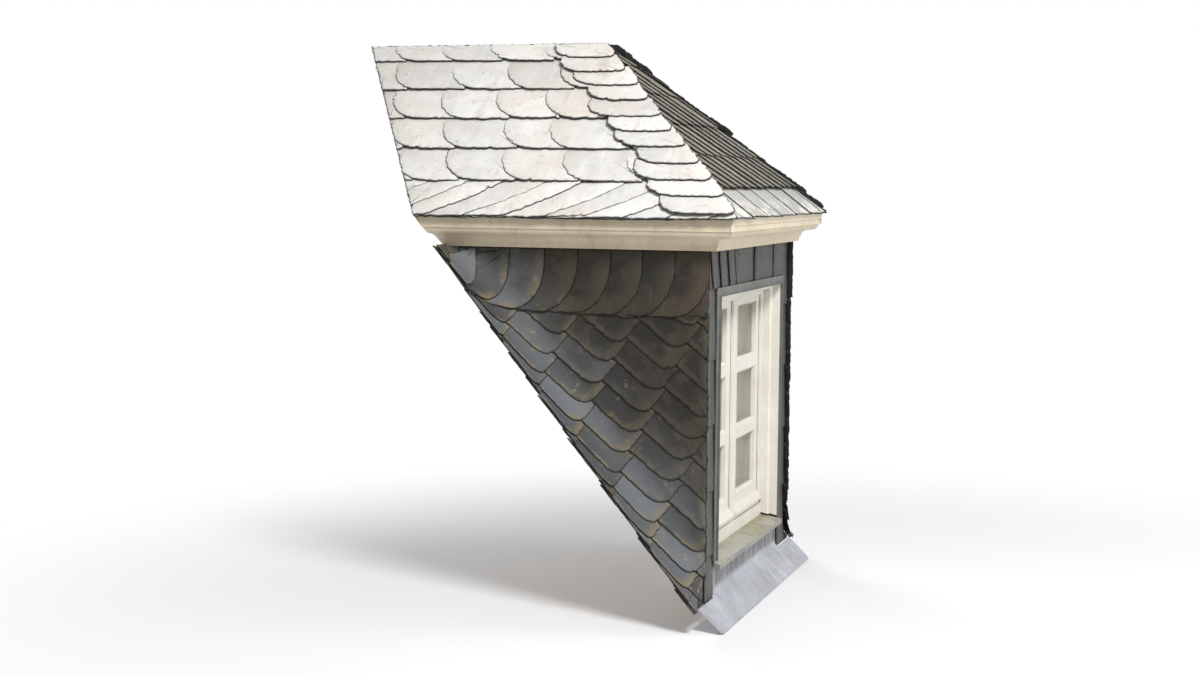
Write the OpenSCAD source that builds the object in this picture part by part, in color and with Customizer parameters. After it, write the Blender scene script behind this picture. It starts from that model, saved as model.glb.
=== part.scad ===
// Hipped dormer window for a steep slate roof: a timber frame on a sloping sole, boarded
// and slated cheeks that sweep out onto the roof, a moulded cornice, and a casement window
// with two sashes. X runs across the front, -Y points out of the window, Z is up.
// The origin is the centre of the threshold's underside, which lies on the main roof.

/* [Main roof] */
// Pitch of the roof slope that the dormer stands on, in degrees
main_pitch = 52; // [49:1:56]

/* [Timber frame] */
// Width of the posts, studs and soles at each side, seen from the front
post_w = 110; // [96:2:124]
// Depth of the threshold, measured level from front to back
threshold_d = 84; // [76:2:96]
// Depth of the corner posts and of the window head, front to back
post_d = 110; // [100:2:130]
// Height of the beam over the window
head_h = 258; // [240:2:280]
// Height of the wall plates under the rafters
plate_h = 90; // [80:2:110]
// Thickness of the sole plates and the rear trimmer
sole_t = 60; // [50:2:70]
// Thickness of studs, rafters and the ridge beam
timber_t = 60; // [50:2:70]
// Spacing of the studs along the cheek
stud_gap = 400; // [360:10:460]
// Depth of the rafters
rafter_d = 80; // [70:2:96]
// Spacing of the rafters
rafter_gap = 420; // [380:10:460]
// Depth of the ridge beam
ridge_d = 140; // [120:5:160]
// Depth of the hip rafters, measured plumb
hip_d = 150; // [130:5:170]

/* [Boards and slates] */
// Thickness of the outer boarding on walls and roof
board_t = 24; // [20:1:28]
// Thickness of the slate covering
slate_t = 14; // [10:1:18]
// Thickness of the inner lining and the ceiling
lining_t = 12; // [10:1:18]
// Width of the boards that lie on the main roof under the valleys
lay_board_w = 130; // [110:5:150]

/* [Dormer roof] */
// Pitch of all three dormer slopes, in degrees
roof_pitch = 42; // [38:1:46]
// How far the slates reach past the cornice
slate_over = 30; // [20:1:40]

/* [Cornice] */
// Projection of the cornice from the wall boarding
cornice_out = 148; // [138:1:160]
// Height of the moulded face
cornice_h = 110; // [104:1:120]
// Distance from the wall boarding to the cornice's lower lip
lip_out = 58; // [50:1:64]
// Height of the lower lip
lip_h = 20; // [16:1:24]
// Height of the flat band at the top of the moulding
band_h = 24; // [20:1:28]
// Radius of the quarter round under the band
round_r = 30; // [26:1:34]
// Depth of the small steps in the moulding
step_d = 6; // [4:1:8]
// Width of the soffit strip between wall and cornice
soffit_w = 30; // [24:1:34]
// Thickness of the soffit strip
soffit_t = 20; // [16:1:24]

/* [Valley] */
// Radius of the hollow where a cheek sweeps out onto the main roof
valley_r = 150; // [130:5:170]
// Thickness left at the edges of the valley board
valley_edge = 8; // [6:1:12]
// How far the swept slates lie on the main roof beyond the valley board
valley_lap = 60; // [50:5:75]
// How far the cheek slates reach past the front at the corners
corner_lap = 24; // [16:1:32]
// Clearance between the lapping slates and the apron
slate_gap = 0.5; // [0.3:0.1:1]

/* [Window opening] */
// Clear width between the corner posts
opening_w = 1222; // [1190:2:1240]
// Clear height from the threshold to the window head
opening_h = 1230; // [1200:2:1280]
// Thickness of the white boards that line the opening
reveal_t = 18; // [14:1:22]
// How far the inner part of the linings stands into the opening
bead_t = 25; // [20:1:30]
// Depth of the lining's plain outer part
board_d = 38; // [32:1:44]
// Radius of the rounded edge between the two parts
bead_r = 12; // [8:1:16]
// Gap between the side linings and the sill
reveal_gap = 12; // [8:1:16]
// Face width of the metal trim round the opening
trim_w = 40; // [34:1:46]
// Thickness of the metal trim
trim_t = 4; // [3:1:5]
// Projection of the trim's drip edge
drip_d = 9; // [6:1:12]

/* [Window frame] */
// Distance from the slate face to the window frame
frame_recess = 80; // [72:2:88]
// Depth of the window frame
frame_d = 60; // [56:2:70]
// Visible width of the side members of the frame
jamb_w = 68; // [60:2:76]
// Visible height of the frame's head
frame_head_h = 51; // [45:1:57]
// Height of the frame's bottom rail above the sill
frame_foot_h = 84; // [76:2:92]
// Thickness of the frame's front lip, which covers the edges of the sashes
frame_lip = 12; // [10:1:16]
// How far the frame's lip covers the sashes
rebate_w = 15; // [12:1:18]
// Height of the step along the foot of the frame
foot_step_h = 60; // [50:1:66]
// Depth of the step along the foot of the frame
foot_step_d = 8; // [6:1:10]

/* [Sashes] */
// Depth of the sashes
sash_d = 56; // [52:1:62]
// Visible width of the outer stiles
stile_w = 62; // [54:1:70]
// Width of each meeting stile
meeting_w = 103; // [92:1:114]
// Visible height of the top rail
top_rail_h = 42; // [36:1:50]
// Visible height of the bottom rail
bottom_rail_h = 108; // [98:1:118]
// Height of the glazing bars
bar_h = 78; // [68:1:88]
// Depth of the bevel round each pane
bevel_d = 12; // [8:1:14]
// Distance from the sash face to the glass
glass_set = 20; // [18:1:24]
// Thickness of the glazing units
glass_t = 24; // [16:1:26]
// Width of the cover strip over the joint of the sashes
cover_w = 54; // [46:2:64]
// Projection of the cover strip
cover_d = 14; // [10:1:16]
// Height of the weather bars
weather_h = 48; // [40:1:54]
// Projection of the weather bars
weather_d = 26; // [20:1:30]
// Height of the weather bars' front edge
weather_nose = 16; // [12:1:20]
// Size of the notch under the weather bars' front edge
weather_notch = 4; // [3:1:6]

/* [Sill and apron] */
// Height of the sill where it meets the frame
sill_h = 38; // [34:1:44]
// Fall of the sill's top, in degrees
sill_fall = 12; // [9:1:14]
// Projection of the sill from the slate face
sill_out = 24; // [18:1:30]
// Gap between each end of the sill and the side of the opening
sill_gap = 8; // [4:1:12]
// Depth of the sill's nose
nose_h = 22; // [18:1:26]
// Thickness of the metal apron
apron_t = 3; // [2:0.5:4]
// Fall of the apron, in degrees
apron_fall = 43; // [40:1:48]
// Length of the apron below its fold
apron_l = 158; // [150:2:180]
// How far the apron reaches past the cheek boarding at each side
apron_side = 130; // [110:5:150]
// Radius of the apron's fold
apron_r = 30; // [24:1:36]
// Radius of the apron's lower corners
apron_corner = 28; // [20:1:36]
// Height of the apron's lower edge above the main roof's boarding
apron_lift = 40; // [34:1:46]

/* [Hidden] */
$fn = 96;

// Larger than the whole dormer, for half-spaces
big = 8000;

// Plan positions, as distances from the centre line or along Y
open_x = opening_w / 2;
stud_x = open_x + post_w;
cheek_x = stud_x + board_t;
post_y = -threshold_d / 2;
post_back_y = post_y + post_d;
wall_y = post_y - board_t;
face_y = wall_y - slate_t;

// Levels
threshold_z = tan(main_pitch) * threshold_d / 2;
head_z = threshold_z + opening_h;
plate_z = head_z + head_h;
plate_top = plate_z + plate_h;
ceiling_z = plate_z - lining_t;
board_top = plate_top - board_t * tan(roof_pitch);

// Eaves: the outer edge of the cornice, and the plane of the rafters' tops above it
eaves_x = cheek_x + cornice_out;
eaves_y = wall_y - cornice_out;
rafter_v = rafter_d / cos(roof_pitch);
eaves_z = plate_top + rafter_v - (board_t + cornice_out) * tan(roof_pitch);
cornice_z = eaves_z - cornice_h;
apex_y = eaves_y + eaves_x;
ridge_z = eaves_z + eaves_x * tan(roof_pitch);
deck_v = board_t / cos(roof_pitch);
slate_v = slate_t / cos(roof_pitch);

// Window planes, front to back
frame_y = face_y + frame_recess;
frame_back_y = frame_y + frame_d;
sash_y = frame_y + frame_lip;
glass_y = sash_y + glass_set;

// Window levels and widths
sill_z = threshold_z + sill_h;
light_x = open_x - reveal_t - jamb_w;
light_top = head_z - reveal_t - frame_head_h;
light_foot = sill_z + frame_foot_h;
pane_h = (light_top - top_rail_h - light_foot - bottom_rail_h - 2 * bar_h) / 3;
pane_x0 = meeting_w;
pane_x1 = light_x - stile_w;
pane_feet = [for (i = [0 : 2]) light_foot + bottom_rail_h + i * (pane_h + bar_h)];

// The apron's fold: its centre, its turn, and the level at which it ends. The apron's lower
// edge lies on the main roof's slates.
fold_turn = 90 - apron_fall;
fold_y = wall_y - apron_r;
apron_end_y = fold_y + apron_r * cos(fold_turn) - apron_l * sin(fold_turn);
fold_z = above_z(apron_end_y, apron_lift) + apron_r * sin(fold_turn) + apron_l * cos(fold_turn);
fold_end_z = fold_z - apron_r * sin(fold_turn);
// The apron's wings start this far below the fold, just in front of the slates
wing_clear = 2;
wing_gap = (wall_y - face_y - apron_r) / sin(fold_turn) + apron_r / tan(fold_turn) + wing_clear;

function main_z(y) = y * tan(main_pitch);
function main_y(z) = z / tan(main_pitch);
// Height of a point n above the main roof's plane, at a given y
function above_z(y, n) = (n + y * sin(main_pitch)) / cos(main_pitch);
function above_y(z, n) = (z * cos(main_pitch) - n) / sin(main_pitch);

// A (Y, Z) section stretched between two X positions
module along_x(x0, x1) {
    translate([x0, 0, 0])
        rotate([90, 0, 90])
            linear_extrude(x1 - x0)
                children();
}

// An (X, Z) section stretched between two Y positions
module along_y(y0, y1) {
    translate([0, y1, 0])
        rotate([90, 0, 0])
            linear_extrude(y1 - y0)
                children();
}

// A section across the main roof (X, height above its plane), stretched up the slope
module up_slope(s0, s1) {
    rotate([90 + main_pitch, 0, 0])
        translate([0, 0, -s1])
            linear_extrude(s1 - s0)
                children();
}

// Everything at least n above the main roof's plane
module above_main(n = 0) {
    rotate([main_pitch, 0, 0])
        translate([-big / 2, -big / 2, n])
            cube(big);
}

module box(x0, x1, y0, y1, z0, z1) {
    translate([x0, y0, z0])
        cube([x1 - x0, y1 - y0, z1 - z0]);
}

module mirrored() {
    mirror([1, 0, 0])
        children();
}

module both_sides() {
    children();
    mirrored() children();
}

// Timber frame

module threshold() {
    color("burlywood")
        along_x(-stud_x, stud_x)
            polygon([
                [post_y, main_z(post_y)],
                [post_y, threshold_z],
                [-post_y, threshold_z]
            ]);
}

module left_sole() {
    s1 = plate_top / sin(main_pitch);
    color("burlywood")
        intersection() {
            up_slope(0, s1)
                translate([-stud_x, 0])
                    square([stud_x - open_x, sole_t]);
            box(-big, big, -big, big, threshold_z, big);
        }
}

module rear_trimmer() {
    s0 = ceiling_z / sin(main_pitch);
    trimmer_w = 100;
    color("burlywood")
        up_slope(s0, s0 + trimmer_w)
            translate([-open_x, 0])
                square([2 * open_x, sole_t]);
}

// Posts and studs stand on the sloping sole
module left_corner_post() {
    color("burlywood")
        along_x(-stud_x, -open_x)
            polygon([
                [post_y, threshold_z],
                [above_y(threshold_z, sole_t), threshold_z],
                [post_back_y, above_z(post_back_y, sole_t)],
                [post_back_y, plate_z],
                [post_y, plate_z]
            ]);
}

module studs() {
    last_y = above_y(plate_z, sole_t) - timber_t;
    color("burlywood")
        both_sides()
            for (y = [post_back_y + stud_gap - timber_t : stud_gap : last_y])
                along_x(-stud_x, -open_x)
                    polygon([
                        [y, above_z(y, sole_t)],
                        [y + timber_t, above_z(y + timber_t, sole_t)],
                        [y + timber_t, plate_z],
                        [y, plate_z]
                    ]);
}

module window_head() {
    color("burlywood")
        box(-open_x, open_x, post_y, post_back_y, head_z, plate_z);
}

module front_plate() {
    color("burlywood")
        box(-stud_x, stud_x, post_y, post_back_y, plate_z, plate_top);
}

module left_plate() {
    color("burlywood")
        intersection() {
            box(-stud_x, -open_x, post_back_y, big / 2, plate_z, plate_top);
            above_main(sole_t);
        }
}

// Boarding and linings

module left_cheek() {
    color("tan")
        along_x(-cheek_x, -stud_x)
            polygon([
                [wall_y, main_z(wall_y)],
                [wall_y, board_top],
                [main_y(board_top), board_top]
            ]);
}

module front_boards() {
    color("tan")
        difference() {
            along_x(-stud_x, stud_x)
                polygon([
                    [wall_y, main_z(wall_y)],
                    [post_y, main_z(post_y)],
                    [post_y, board_top],
                    [wall_y, board_top]
                ]);
            box(-open_x, open_x, wall_y - 1, post_y + 1, threshold_z, head_z);
        }
}

module left_lining() {
    color("wheat")
        along_x(-open_x, -open_x + lining_t)
            polygon([
                [frame_back_y, main_z(frame_back_y)],
                [frame_back_y, head_z],
                [post_back_y, head_z],
                [post_back_y, ceiling_z],
                [main_y(ceiling_z), ceiling_z]
            ]);
}

module ceiling() {
    // Its rear edge butts square against the trimmer
    rear_s = ceiling_z / sin(main_pitch);
    color("wheat")
        difference() {
            box(-open_x, open_x, post_back_y, big / 2, ceiling_z, plate_z);
            rotate([main_pitch, 0, 0])
                translate([-big / 2, rear_s, -big / 2])
                    cube(big);
        }
}

// Dormer roof

// Height of a roof plane, lift above the rafters' tops, at a distance d in from the eaves
function roof_z(d, lift = 0) = eaves_z + d * tan(roof_pitch) + lift;

// A layer of a side slope, from lift v0 to v1, its lower edge "out" past the cornice
module side_layer(v0, v1, out = 0) {
    intersection() {
        along_y(eaves_y - out, big / 2)
            polygon([
                [-eaves_x - out, roof_z(-out, v0)],
                [0, roof_z(eaves_x, v0)],
                [0, roof_z(eaves_x, v1)],
                [-eaves_x - out, roof_z(-out, v1)]
            ]);
        behind_hip();
        above_main();
    }
}

// The part of the plan that belongs to the left slope
module behind_hip(gap = 0) {
    translate([0, 0, -big / 2])
        linear_extrude(2 * big)
            polygon([
                [0, apex_y + gap],
                [-big, apex_y - big + gap],
                [-big, big],
                [0, big]
            ]);
}

// The part of the plan that belongs to the front slope
module before_hips(gap = 0) {
    translate([0, 0, -big / 2])
        linear_extrude(2 * big)
            polygon([
                [0, apex_y - gap],
                [-big, apex_y - big - gap],
                [big, apex_y - big - gap]
            ]);
}

module front_layer(v0, v1, out = 0) {
    intersection() {
        along_x(-eaves_x - out, eaves_x + out)
            polygon([
                [eaves_y - out, roof_z(-out, v0)],
                [apex_y, roof_z(eaves_x, v0)],
                [apex_y, roof_z(eaves_x, v1)],
                [eaves_y - out, roof_z(-out, v1)]
            ]);
        before_hips();
    }
}

// The space below the rafters' tops
module under_roof() {
    intersection() {
        along_y(-big / 2, big / 2)
            polygon([[-eaves_x, eaves_z], [0, ridge_z], [eaves_x, eaves_z], [0, -big]]);
        along_x(-big / 2, big / 2)
            polygon([[eaves_y, eaves_z], [apex_y, ridge_z], [big, ridge_z], [big, -big]]);
    }
}

module ridge_beam() {
    top = ridge_z - timber_t / 2 * tan(roof_pitch);
    front = apex_y - timber_t * (1 + sqrt(2)) / 2;
    color("burlywood")
        intersection() {
            box(-timber_t / 2, timber_t / 2, front, big / 2, top - ridge_d, top);
            under_roof();
            above_main(board_t);
        }
}

// Each hip rafter runs from the corner of the plates up to the side of the ridge beam
module hip_rafters() {
    diagonal = sqrt(2) * (stud_x + threshold_d);
    rise = tan(roof_pitch) / sqrt(2);
    color("burlywood")
        both_sides()
            intersection() {
                translate([-stud_x, post_y, plate_top])
                    rotate([0, 0, 45])
                        translate([-timber_t, timber_t / 2, 0])
                            rotate([90, 0, 0])
                                linear_extrude(timber_t)
                                    polygon([
                                        [timber_t, rafter_v - hip_d],
                                        [diagonal, diagonal * rise + rafter_v - hip_d],
                                        [diagonal, diagonal * rise + rafter_v],
                                        [timber_t, rafter_v + timber_t * rise]
                                    ]);
                under_roof();
                box(-big, -timber_t / 2, -big, big, plate_top, big);
            }
}

// One rafter of a side slope, standing at y
module side_rafter(y) {
    tail = soffit_w + board_t;
    along_y(y - timber_t / 2, y + timber_t / 2)
        polygon([
            [-stud_x - tail, plate_top - tail * tan(roof_pitch)],
            [-timber_t / 2, plate_top + (stud_x - timber_t / 2) * tan(roof_pitch)],
            [-timber_t / 2, roof_z(eaves_x - timber_t / 2)],
            [-stud_x - tail, roof_z(cornice_out - soffit_w)]
        ]);
}

// One rafter of the front slope, standing at x
module front_rafter(x) {
    tail_y = wall_y - soffit_w;
    end_y = apex_y - timber_t * (1 + sqrt(2)) / 2;
    along_x(x - timber_t / 2, x + timber_t / 2)
        polygon([
            [tail_y, roof_z(tail_y - eaves_y) - rafter_v],
            [end_y, roof_z(end_y - eaves_y) - rafter_v],
            [end_y, roof_z(end_y - eaves_y)],
            [tail_y, roof_z(tail_y - eaves_y)]
        ]);
}

module rafters() {
    // Jack rafters stop at the sides of the hip rafters
    hip_gap = timber_t / sqrt(2);
    first = apex_y + timber_t;
    last = main_y(ridge_z) - rafter_gap;
    color("burlywood") {
        both_sides() {
            for (y = [first : rafter_gap : last])
                intersection() {
                    side_rafter(y);
                    above_main(board_t);
                }
            intersection() {
                side_rafter(first - rafter_gap);
                behind_hip(hip_gap);
            }
            intersection() {
                front_rafter(-rafter_gap);
                before_hips(hip_gap);
            }
        }
        front_rafter(0);
    }
}

// Boards laid on the main roof, on which the rear rafters stand
module lay_boards() {
    // The rafters' undersides meet the main roof along this line
    s0 = plate_top / sin(main_pitch);
    run = tan(roof_pitch) / sin(main_pitch);
    half = lay_board_w / 2 * sqrt(1 + run * run);
    centre_gap = 2;
    color("tan")
        both_sides()
            intersection() {
                rotate([main_pitch, 0, 0])
                    linear_extrude(board_t)
                        polygon([
                            [-stud_x, s0 - half],
                            [0, s0 + stud_x * run - half],
                            [0, s0 + stud_x * run + half],
                            [-stud_x, s0 + half]
                        ]);
                box(-open_x, -centre_gap / 2, -big, big, -big, big);
            }
}

module left_roof_boards() {
    color("tan")
        side_layer(0, deck_v);
}

module front_roof_boards() {
    color("tan")
        front_layer(0, deck_v);
}

module left_roof_slates() {
    color("dimgray")
        side_layer(deck_v, deck_v + slate_v, slate_over);
}

module front_roof_slates() {
    color("slategray")
        front_layer(deck_v, deck_v + slate_v, slate_over);
}

// Cornice

// The moulding in section: distance out from the wall boarding, and height. From the top:
// a flat band, a quarter round, a small flat, a hollow and a lip.
module cornice_section() {
    lip_top = cornice_z + lip_h;
    band_foot = eaves_z - band_h;
    hollow_r = band_foot - round_r - lip_top;
    round_x = cornice_out - step_d - round_r;
    hollow_x = lip_out + step_d + hollow_r;
    back_z = roof_z(cornice_out - 2 * soffit_w);
    difference() {
        union() {
            polygon([
                [soffit_w, cornice_z],
                [lip_out, cornice_z],
                [lip_out, lip_top],
                [hollow_x, lip_top],
                [hollow_x, lip_top + hollow_r],
                [round_x, lip_top + hollow_r],
                [round_x, band_foot],
                [cornice_out, band_foot],
                [cornice_out, eaves_z],
                [2 * soffit_w, back_z],
                [soffit_w, back_z]
            ]);
            translate([round_x, band_foot])
                circle(round_r);
        }
        translate([hollow_x, lip_top])
            circle(hollow_r);
    }
}

module cornice_run(x0, x1) {
    along_x(x0, x1)
        translate([wall_y, 0])
            mirror([1, 0])
                cornice_section();
}

module left_cornice() {
    color("antiquewhite")
        intersection() {
            along_y(eaves_y, big / 2)
                translate([-cheek_x, 0])
                    mirror([1, 0])
                        cornice_section();
            behind_hip();
            above_main();
        }
}

module front_cornice() {
    color("antiquewhite")
        intersection() {
            cornice_run(-eaves_x, eaves_x);
            before_hips();
        }
}

// A strip that closes the gap between the walls and the cornice
module soffit() {
    color("antiquewhite")
        intersection() {
            difference() {
                box(-cheek_x - soffit_w, cheek_x + soffit_w, wall_y - soffit_w, big / 2,
                    cornice_z, cornice_z + soffit_t);
                box(-cheek_x, cheek_x, wall_y, big, cornice_z - 1, cornice_z + soffit_t + 1);
            }
            above_main();
        }
}

// Cheek slates and valleys

// The valley board in section: a solid corner with a hollow face
module valley_section() {
    w = valley_r + valley_edge;
    translate([-cheek_x - w, 0])
        difference() {
            square(w);
            translate([0, w])
                circle(valley_r);
        }
}

// The slates in section: flat on the cheek, round the hollow, and out onto the main roof
module swept_slate_section() {
    w = valley_r + valley_edge;
    translate([-cheek_x - slate_t, w])
        square([slate_t, big / 2]);
    translate([-cheek_x - w, 0])
        intersection() {
            square(w);
            translate([0, w])
                difference() {
                    circle(valley_r);
                    circle(valley_r - slate_t);
                }
        }
    translate([-cheek_x - w - valley_lap, 0])
        square([valley_lap, valley_edge + slate_t]);
}

// The part of a valley that lies behind the plane y and below the cornice
module valley_run(y) {
    intersection() {
        up_slope(-big / 2, big / 2)
            children();
        box(-big, big, y, big, -big, cornice_z);
    }
}

module left_valley_board() {
    color("tan")
        valley_run(wall_y)
            valley_section();
}

// Everything above the apron below its fold
module above_apron() {
    translate([0, fold_y, fold_z])
        rotate([apron_fall, 0, 0])
            translate([-big / 2, -big / 2, apron_t - apron_r + slate_gap])
                cube(big);
}

module left_cheek_slates() {
    color("dimgray") {
        valley_run(face_y)
            swept_slate_section();
        // The slates lap past the corner and over the apron's wing
        intersection() {
            valley_run(face_y - corner_lap)
                swept_slate_section();
            above_apron();
        }
    }
}

module front_slates() {
    trim_x = open_x - reveal_t + trim_w;
    color("slategray")
        difference() {
            box(-cheek_x, cheek_x, face_y, wall_y, fold_end_z, cornice_z);
            box(-open_x, open_x, -big / 2, big / 2, -big, head_z);
            box(-trim_x, trim_x, -big / 2, big / 2, -big, threshold_z);
        }
}

// Window

module window_frame() {
    color("ivory")
        difference() {
            box(-open_x, open_x, frame_y, frame_back_y, threshold_z, head_z);
            // Daylight opening, and the rebate for the sashes behind the lip
            box(-light_x, light_x, frame_y - 1, frame_back_y + 1, light_foot, light_top);
            box(-light_x - rebate_w, light_x + rebate_w, sash_y, frame_back_y + 1,
                light_foot - rebate_w, light_top + rebate_w);
            // Step along the foot
            box(-big, big, frame_y - 1, frame_y + foot_step_d,
                sill_z + foot_step_h, light_foot + 1);
            // The underside follows the main roof
            rotate([main_pitch, 0, 0])
                translate([-big / 2, 0, -big])
                    cube(big);
        }
}

// One pane's hole, with a bevel along its upper and lower outer edges
module pane_cut(z) {
    front = sash_y - 1;
    back = sash_y + bevel_d;
    rise = bevel_d + 1;
    box(pane_x0, pane_x1, front, sash_y + sash_d + 1, z, z + pane_h);
    along_x(pane_x0, pane_x1) {
        polygon([[back, z], [front, z - rise], [front, z]]);
        polygon([[back, z + pane_h], [front, z + pane_h], [front, z + pane_h + rise]]);
    }
}

// A sloping bar that throws the rain clear of the frame, notched underneath
module weather_bar(x0, x1) {
    out = sash_y - weather_d;
    along_x(x0, x1)
        polygon([
            [sash_y, light_foot],
            [out + weather_notch, light_foot],
            [out + weather_notch, light_foot + weather_notch],
            [out, light_foot + weather_notch],
            [out, light_foot + weather_nose],
            [sash_y, light_foot + weather_h]
        ]);
}

module sash_body() {
    difference() {
        box(0, light_x + rebate_w, sash_y, sash_y + sash_d,
            light_foot - rebate_w, light_top + rebate_w);
        for (z = pane_feet)
            pane_cut(z);
    }
}

// The right sash carries the cover strip over the joint
module right_sash() {
    color("ivory") {
        sash_body();
        weather_bar(cover_w / 2, light_x);
        box(-cover_w / 2, cover_w / 2, sash_y - cover_d, sash_y, light_foot, light_top);
    }
}

module left_sash() {
    color("ivory")
        mirrored() {
            sash_body();
            weather_bar(cover_w / 2, light_x);
        }
}

module glass() {
    color([0.75, 0.82, 0.82, 0.35])
        both_sides()
            for (z = pane_feet)
                box(pane_x0, pane_x1, glass_y, glass_y + glass_t, z, z + pane_h);
}

// Opening trims, sill and apron

// The lining in plan: a plain outer board, and a thicker inner part with a rounded edge
module lining_section() {
    board_end = face_y + board_d;
    translate([-open_x, face_y])
        square([reveal_t, board_d]);
    translate([-open_x, board_end + bead_r])
        square([reveal_t + bead_t, frame_y - board_end - bead_r]);
    translate([-open_x, board_end])
        square([reveal_t + bead_t - bead_r, bead_r + 1]);
    translate([-open_x + reveal_t + bead_t - bead_r, board_end + bead_r])
        circle(bead_r);
}

// Everything above the sill's slope, with a gap under the linings and the trim
module above_sill() {
    rise = big / 2 * tan(sill_fall);
    foot = sill_z + reveal_gap;
    along_x(-big / 2, big / 2)
        translate([frame_y, foot])
            polygon([[-big / 2, -rise], [big / 2, rise], [0, 2 * big]]);
}

module reveal_lining() {
    color("ivory")
        intersection() {
            union() {
                both_sides()
                    linear_extrude(head_z)
                        lining_section();
                // Across the head, the same section turned over
                along_x(-open_x, open_x)
                    translate([0, head_z])
                        rotate(-90)
                            translate([open_x, 0])
                                lining_section();
            }
            box(-open_x, open_x, face_y, frame_y, 0, head_z);
            above_sill();
        }
}

// A folded metal edge over the ends of the slates, with a drip standing out
module opening_trim() {
    in_x = open_x - reveal_t;
    out_x = in_x + trim_w;
    in_z = head_z - reveal_t;
    color("lightsteelblue")
        intersection() {
            difference() {
                union() {
                    box(-out_x, out_x, face_y - trim_t, face_y, 0, in_z + trim_w);
                    box(-in_x - trim_t, in_x + trim_t, face_y - trim_t - drip_d, face_y,
                        0, in_z + trim_t);
                }
                box(-in_x, in_x, -big / 2, big / 2, -1, in_z);
            }
            above_sill();
        }
}

module window_sill() {
    end_x = open_x - sill_gap;
    nose_y = face_y - sill_out;
    nose_top = sill_z - (frame_y - nose_y) * tan(sill_fall);
    drip = 5;
    color("gainsboro")
        along_x(-end_x, end_x)
            polygon([
                [frame_y, threshold_z],
                [frame_y, sill_z],
                [nose_y, nose_top],
                [nose_y, nose_top - nose_h],
                [nose_y + drip, nose_top - nose_h],
                [nose_y + drip, threshold_z]
            ]);
}

// One side of the bent sheet in section, about the fold's centre: flat against the wall,
// round the fold, and flat down the slope
module apron_bend(radius, top, foot, start = 0) {
    edge = 2 * apron_r;
    intersection() {
        circle(radius);
        polygon([[0, 0], [edge, apron_r], [edge, -edge], [0, -edge]]);
    }
    translate([start, start])
        square([radius - start, top - start]);
    rotate(-fold_turn)
        translate([start, -foot])
            square([radius - start, foot - start]);
}

module apron_section() {
    top = threshold_z - fold_z;
    translate([fold_y, fold_z])
        difference() {
            apron_bend(apron_r, top, apron_l);
            circle(apron_r - apron_t);
            apron_bend(apron_r - apron_t, top + 1, apron_l + 1, -1);
        }
}

// The sheet is cut back beside the window, and its lower corners are rounded
module front_apron() {
    trim_x = open_x - reveal_t + trim_w;
    wing_x = cheek_x + apron_side;
    color("lightsteelblue")
        difference() {
            along_x(-wing_x, wing_x)
                apron_section();
            both_sides()
                translate([0, fold_y, fold_z])
                    rotate([apron_fall, 0, 0]) {
                        translate([trim_x, -wing_gap, -big / 2])
                            cube(big);
                        translate([wing_x - apron_corner, apron_corner - apron_l, -2 * apron_r])
                            linear_extrude(2 * apron_r)
                                difference() {
                                    translate([0, -apron_corner - 1])
                                        square(apron_corner + 1);
                                    circle(apron_corner);
                                }
                    }
        }
}

threshold();
left_sole();
mirrored() left_sole();  // right_sole
rear_trimmer();
left_corner_post();
mirrored() left_corner_post();  // right_corner_post
window_head();
studs();
front_plate();
left_plate();
mirrored() left_plate();  // right_plate
left_cheek();
mirrored() left_cheek();  // right_cheek
front_boards();
left_lining();
mirrored() left_lining();  // right_lining
ceiling();
ridge_beam();
hip_rafters();
rafters();
lay_boards();
left_roof_boards();
mirrored() left_roof_boards();  // right_roof_boards
front_roof_boards();
left_valley_board();
mirrored() left_valley_board();  // right_valley_board
left_cornice();
mirrored() left_cornice();  // right_cornice
front_cornice();
soffit();
left_cheek_slates();
mirrored() left_cheek_slates();  // right_cheek_slates
front_slates();
left_roof_slates();
mirrored() left_roof_slates();  // right_roof_slates
front_roof_slates();
window_frame();
left_sash();
right_sash();
glass();
reveal_lining();
opening_trim();
window_sill();
front_apron();
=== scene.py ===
"""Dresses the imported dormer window: slates, boards, paint, zinc, panes and net curtains."""

from math import cos, floor, pi, radians, sin, tan

import bmesh
import bpy
import numpy as np
from bpy.props import FloatProperty, FloatVectorProperty, IntProperty
from mathutils import Matrix, Vector


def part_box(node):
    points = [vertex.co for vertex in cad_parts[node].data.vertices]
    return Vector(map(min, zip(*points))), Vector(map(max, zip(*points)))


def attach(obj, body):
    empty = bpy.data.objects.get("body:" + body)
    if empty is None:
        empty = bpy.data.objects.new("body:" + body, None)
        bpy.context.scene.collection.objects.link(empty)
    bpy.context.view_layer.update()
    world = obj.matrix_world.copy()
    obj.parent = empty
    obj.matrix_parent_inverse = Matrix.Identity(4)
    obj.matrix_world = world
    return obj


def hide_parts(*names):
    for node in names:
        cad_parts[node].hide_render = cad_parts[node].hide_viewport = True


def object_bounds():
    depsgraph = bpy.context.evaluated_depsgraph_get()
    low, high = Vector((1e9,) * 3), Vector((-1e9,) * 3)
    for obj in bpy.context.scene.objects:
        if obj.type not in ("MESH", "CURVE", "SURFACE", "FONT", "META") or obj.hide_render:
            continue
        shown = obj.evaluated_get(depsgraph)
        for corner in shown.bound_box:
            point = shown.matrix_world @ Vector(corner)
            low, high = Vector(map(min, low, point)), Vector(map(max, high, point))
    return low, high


bl_info = {
    "name": "Dormer window",
    "version": (1, 0, 0),
    "blender": (4, 5, 0),
    "location": "View3D > Sidebar > Dormer",
    "description": "Slates, boards, paint, zinc, panes and curtains for a roof dormer",
    "category": "Object",
}

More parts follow.
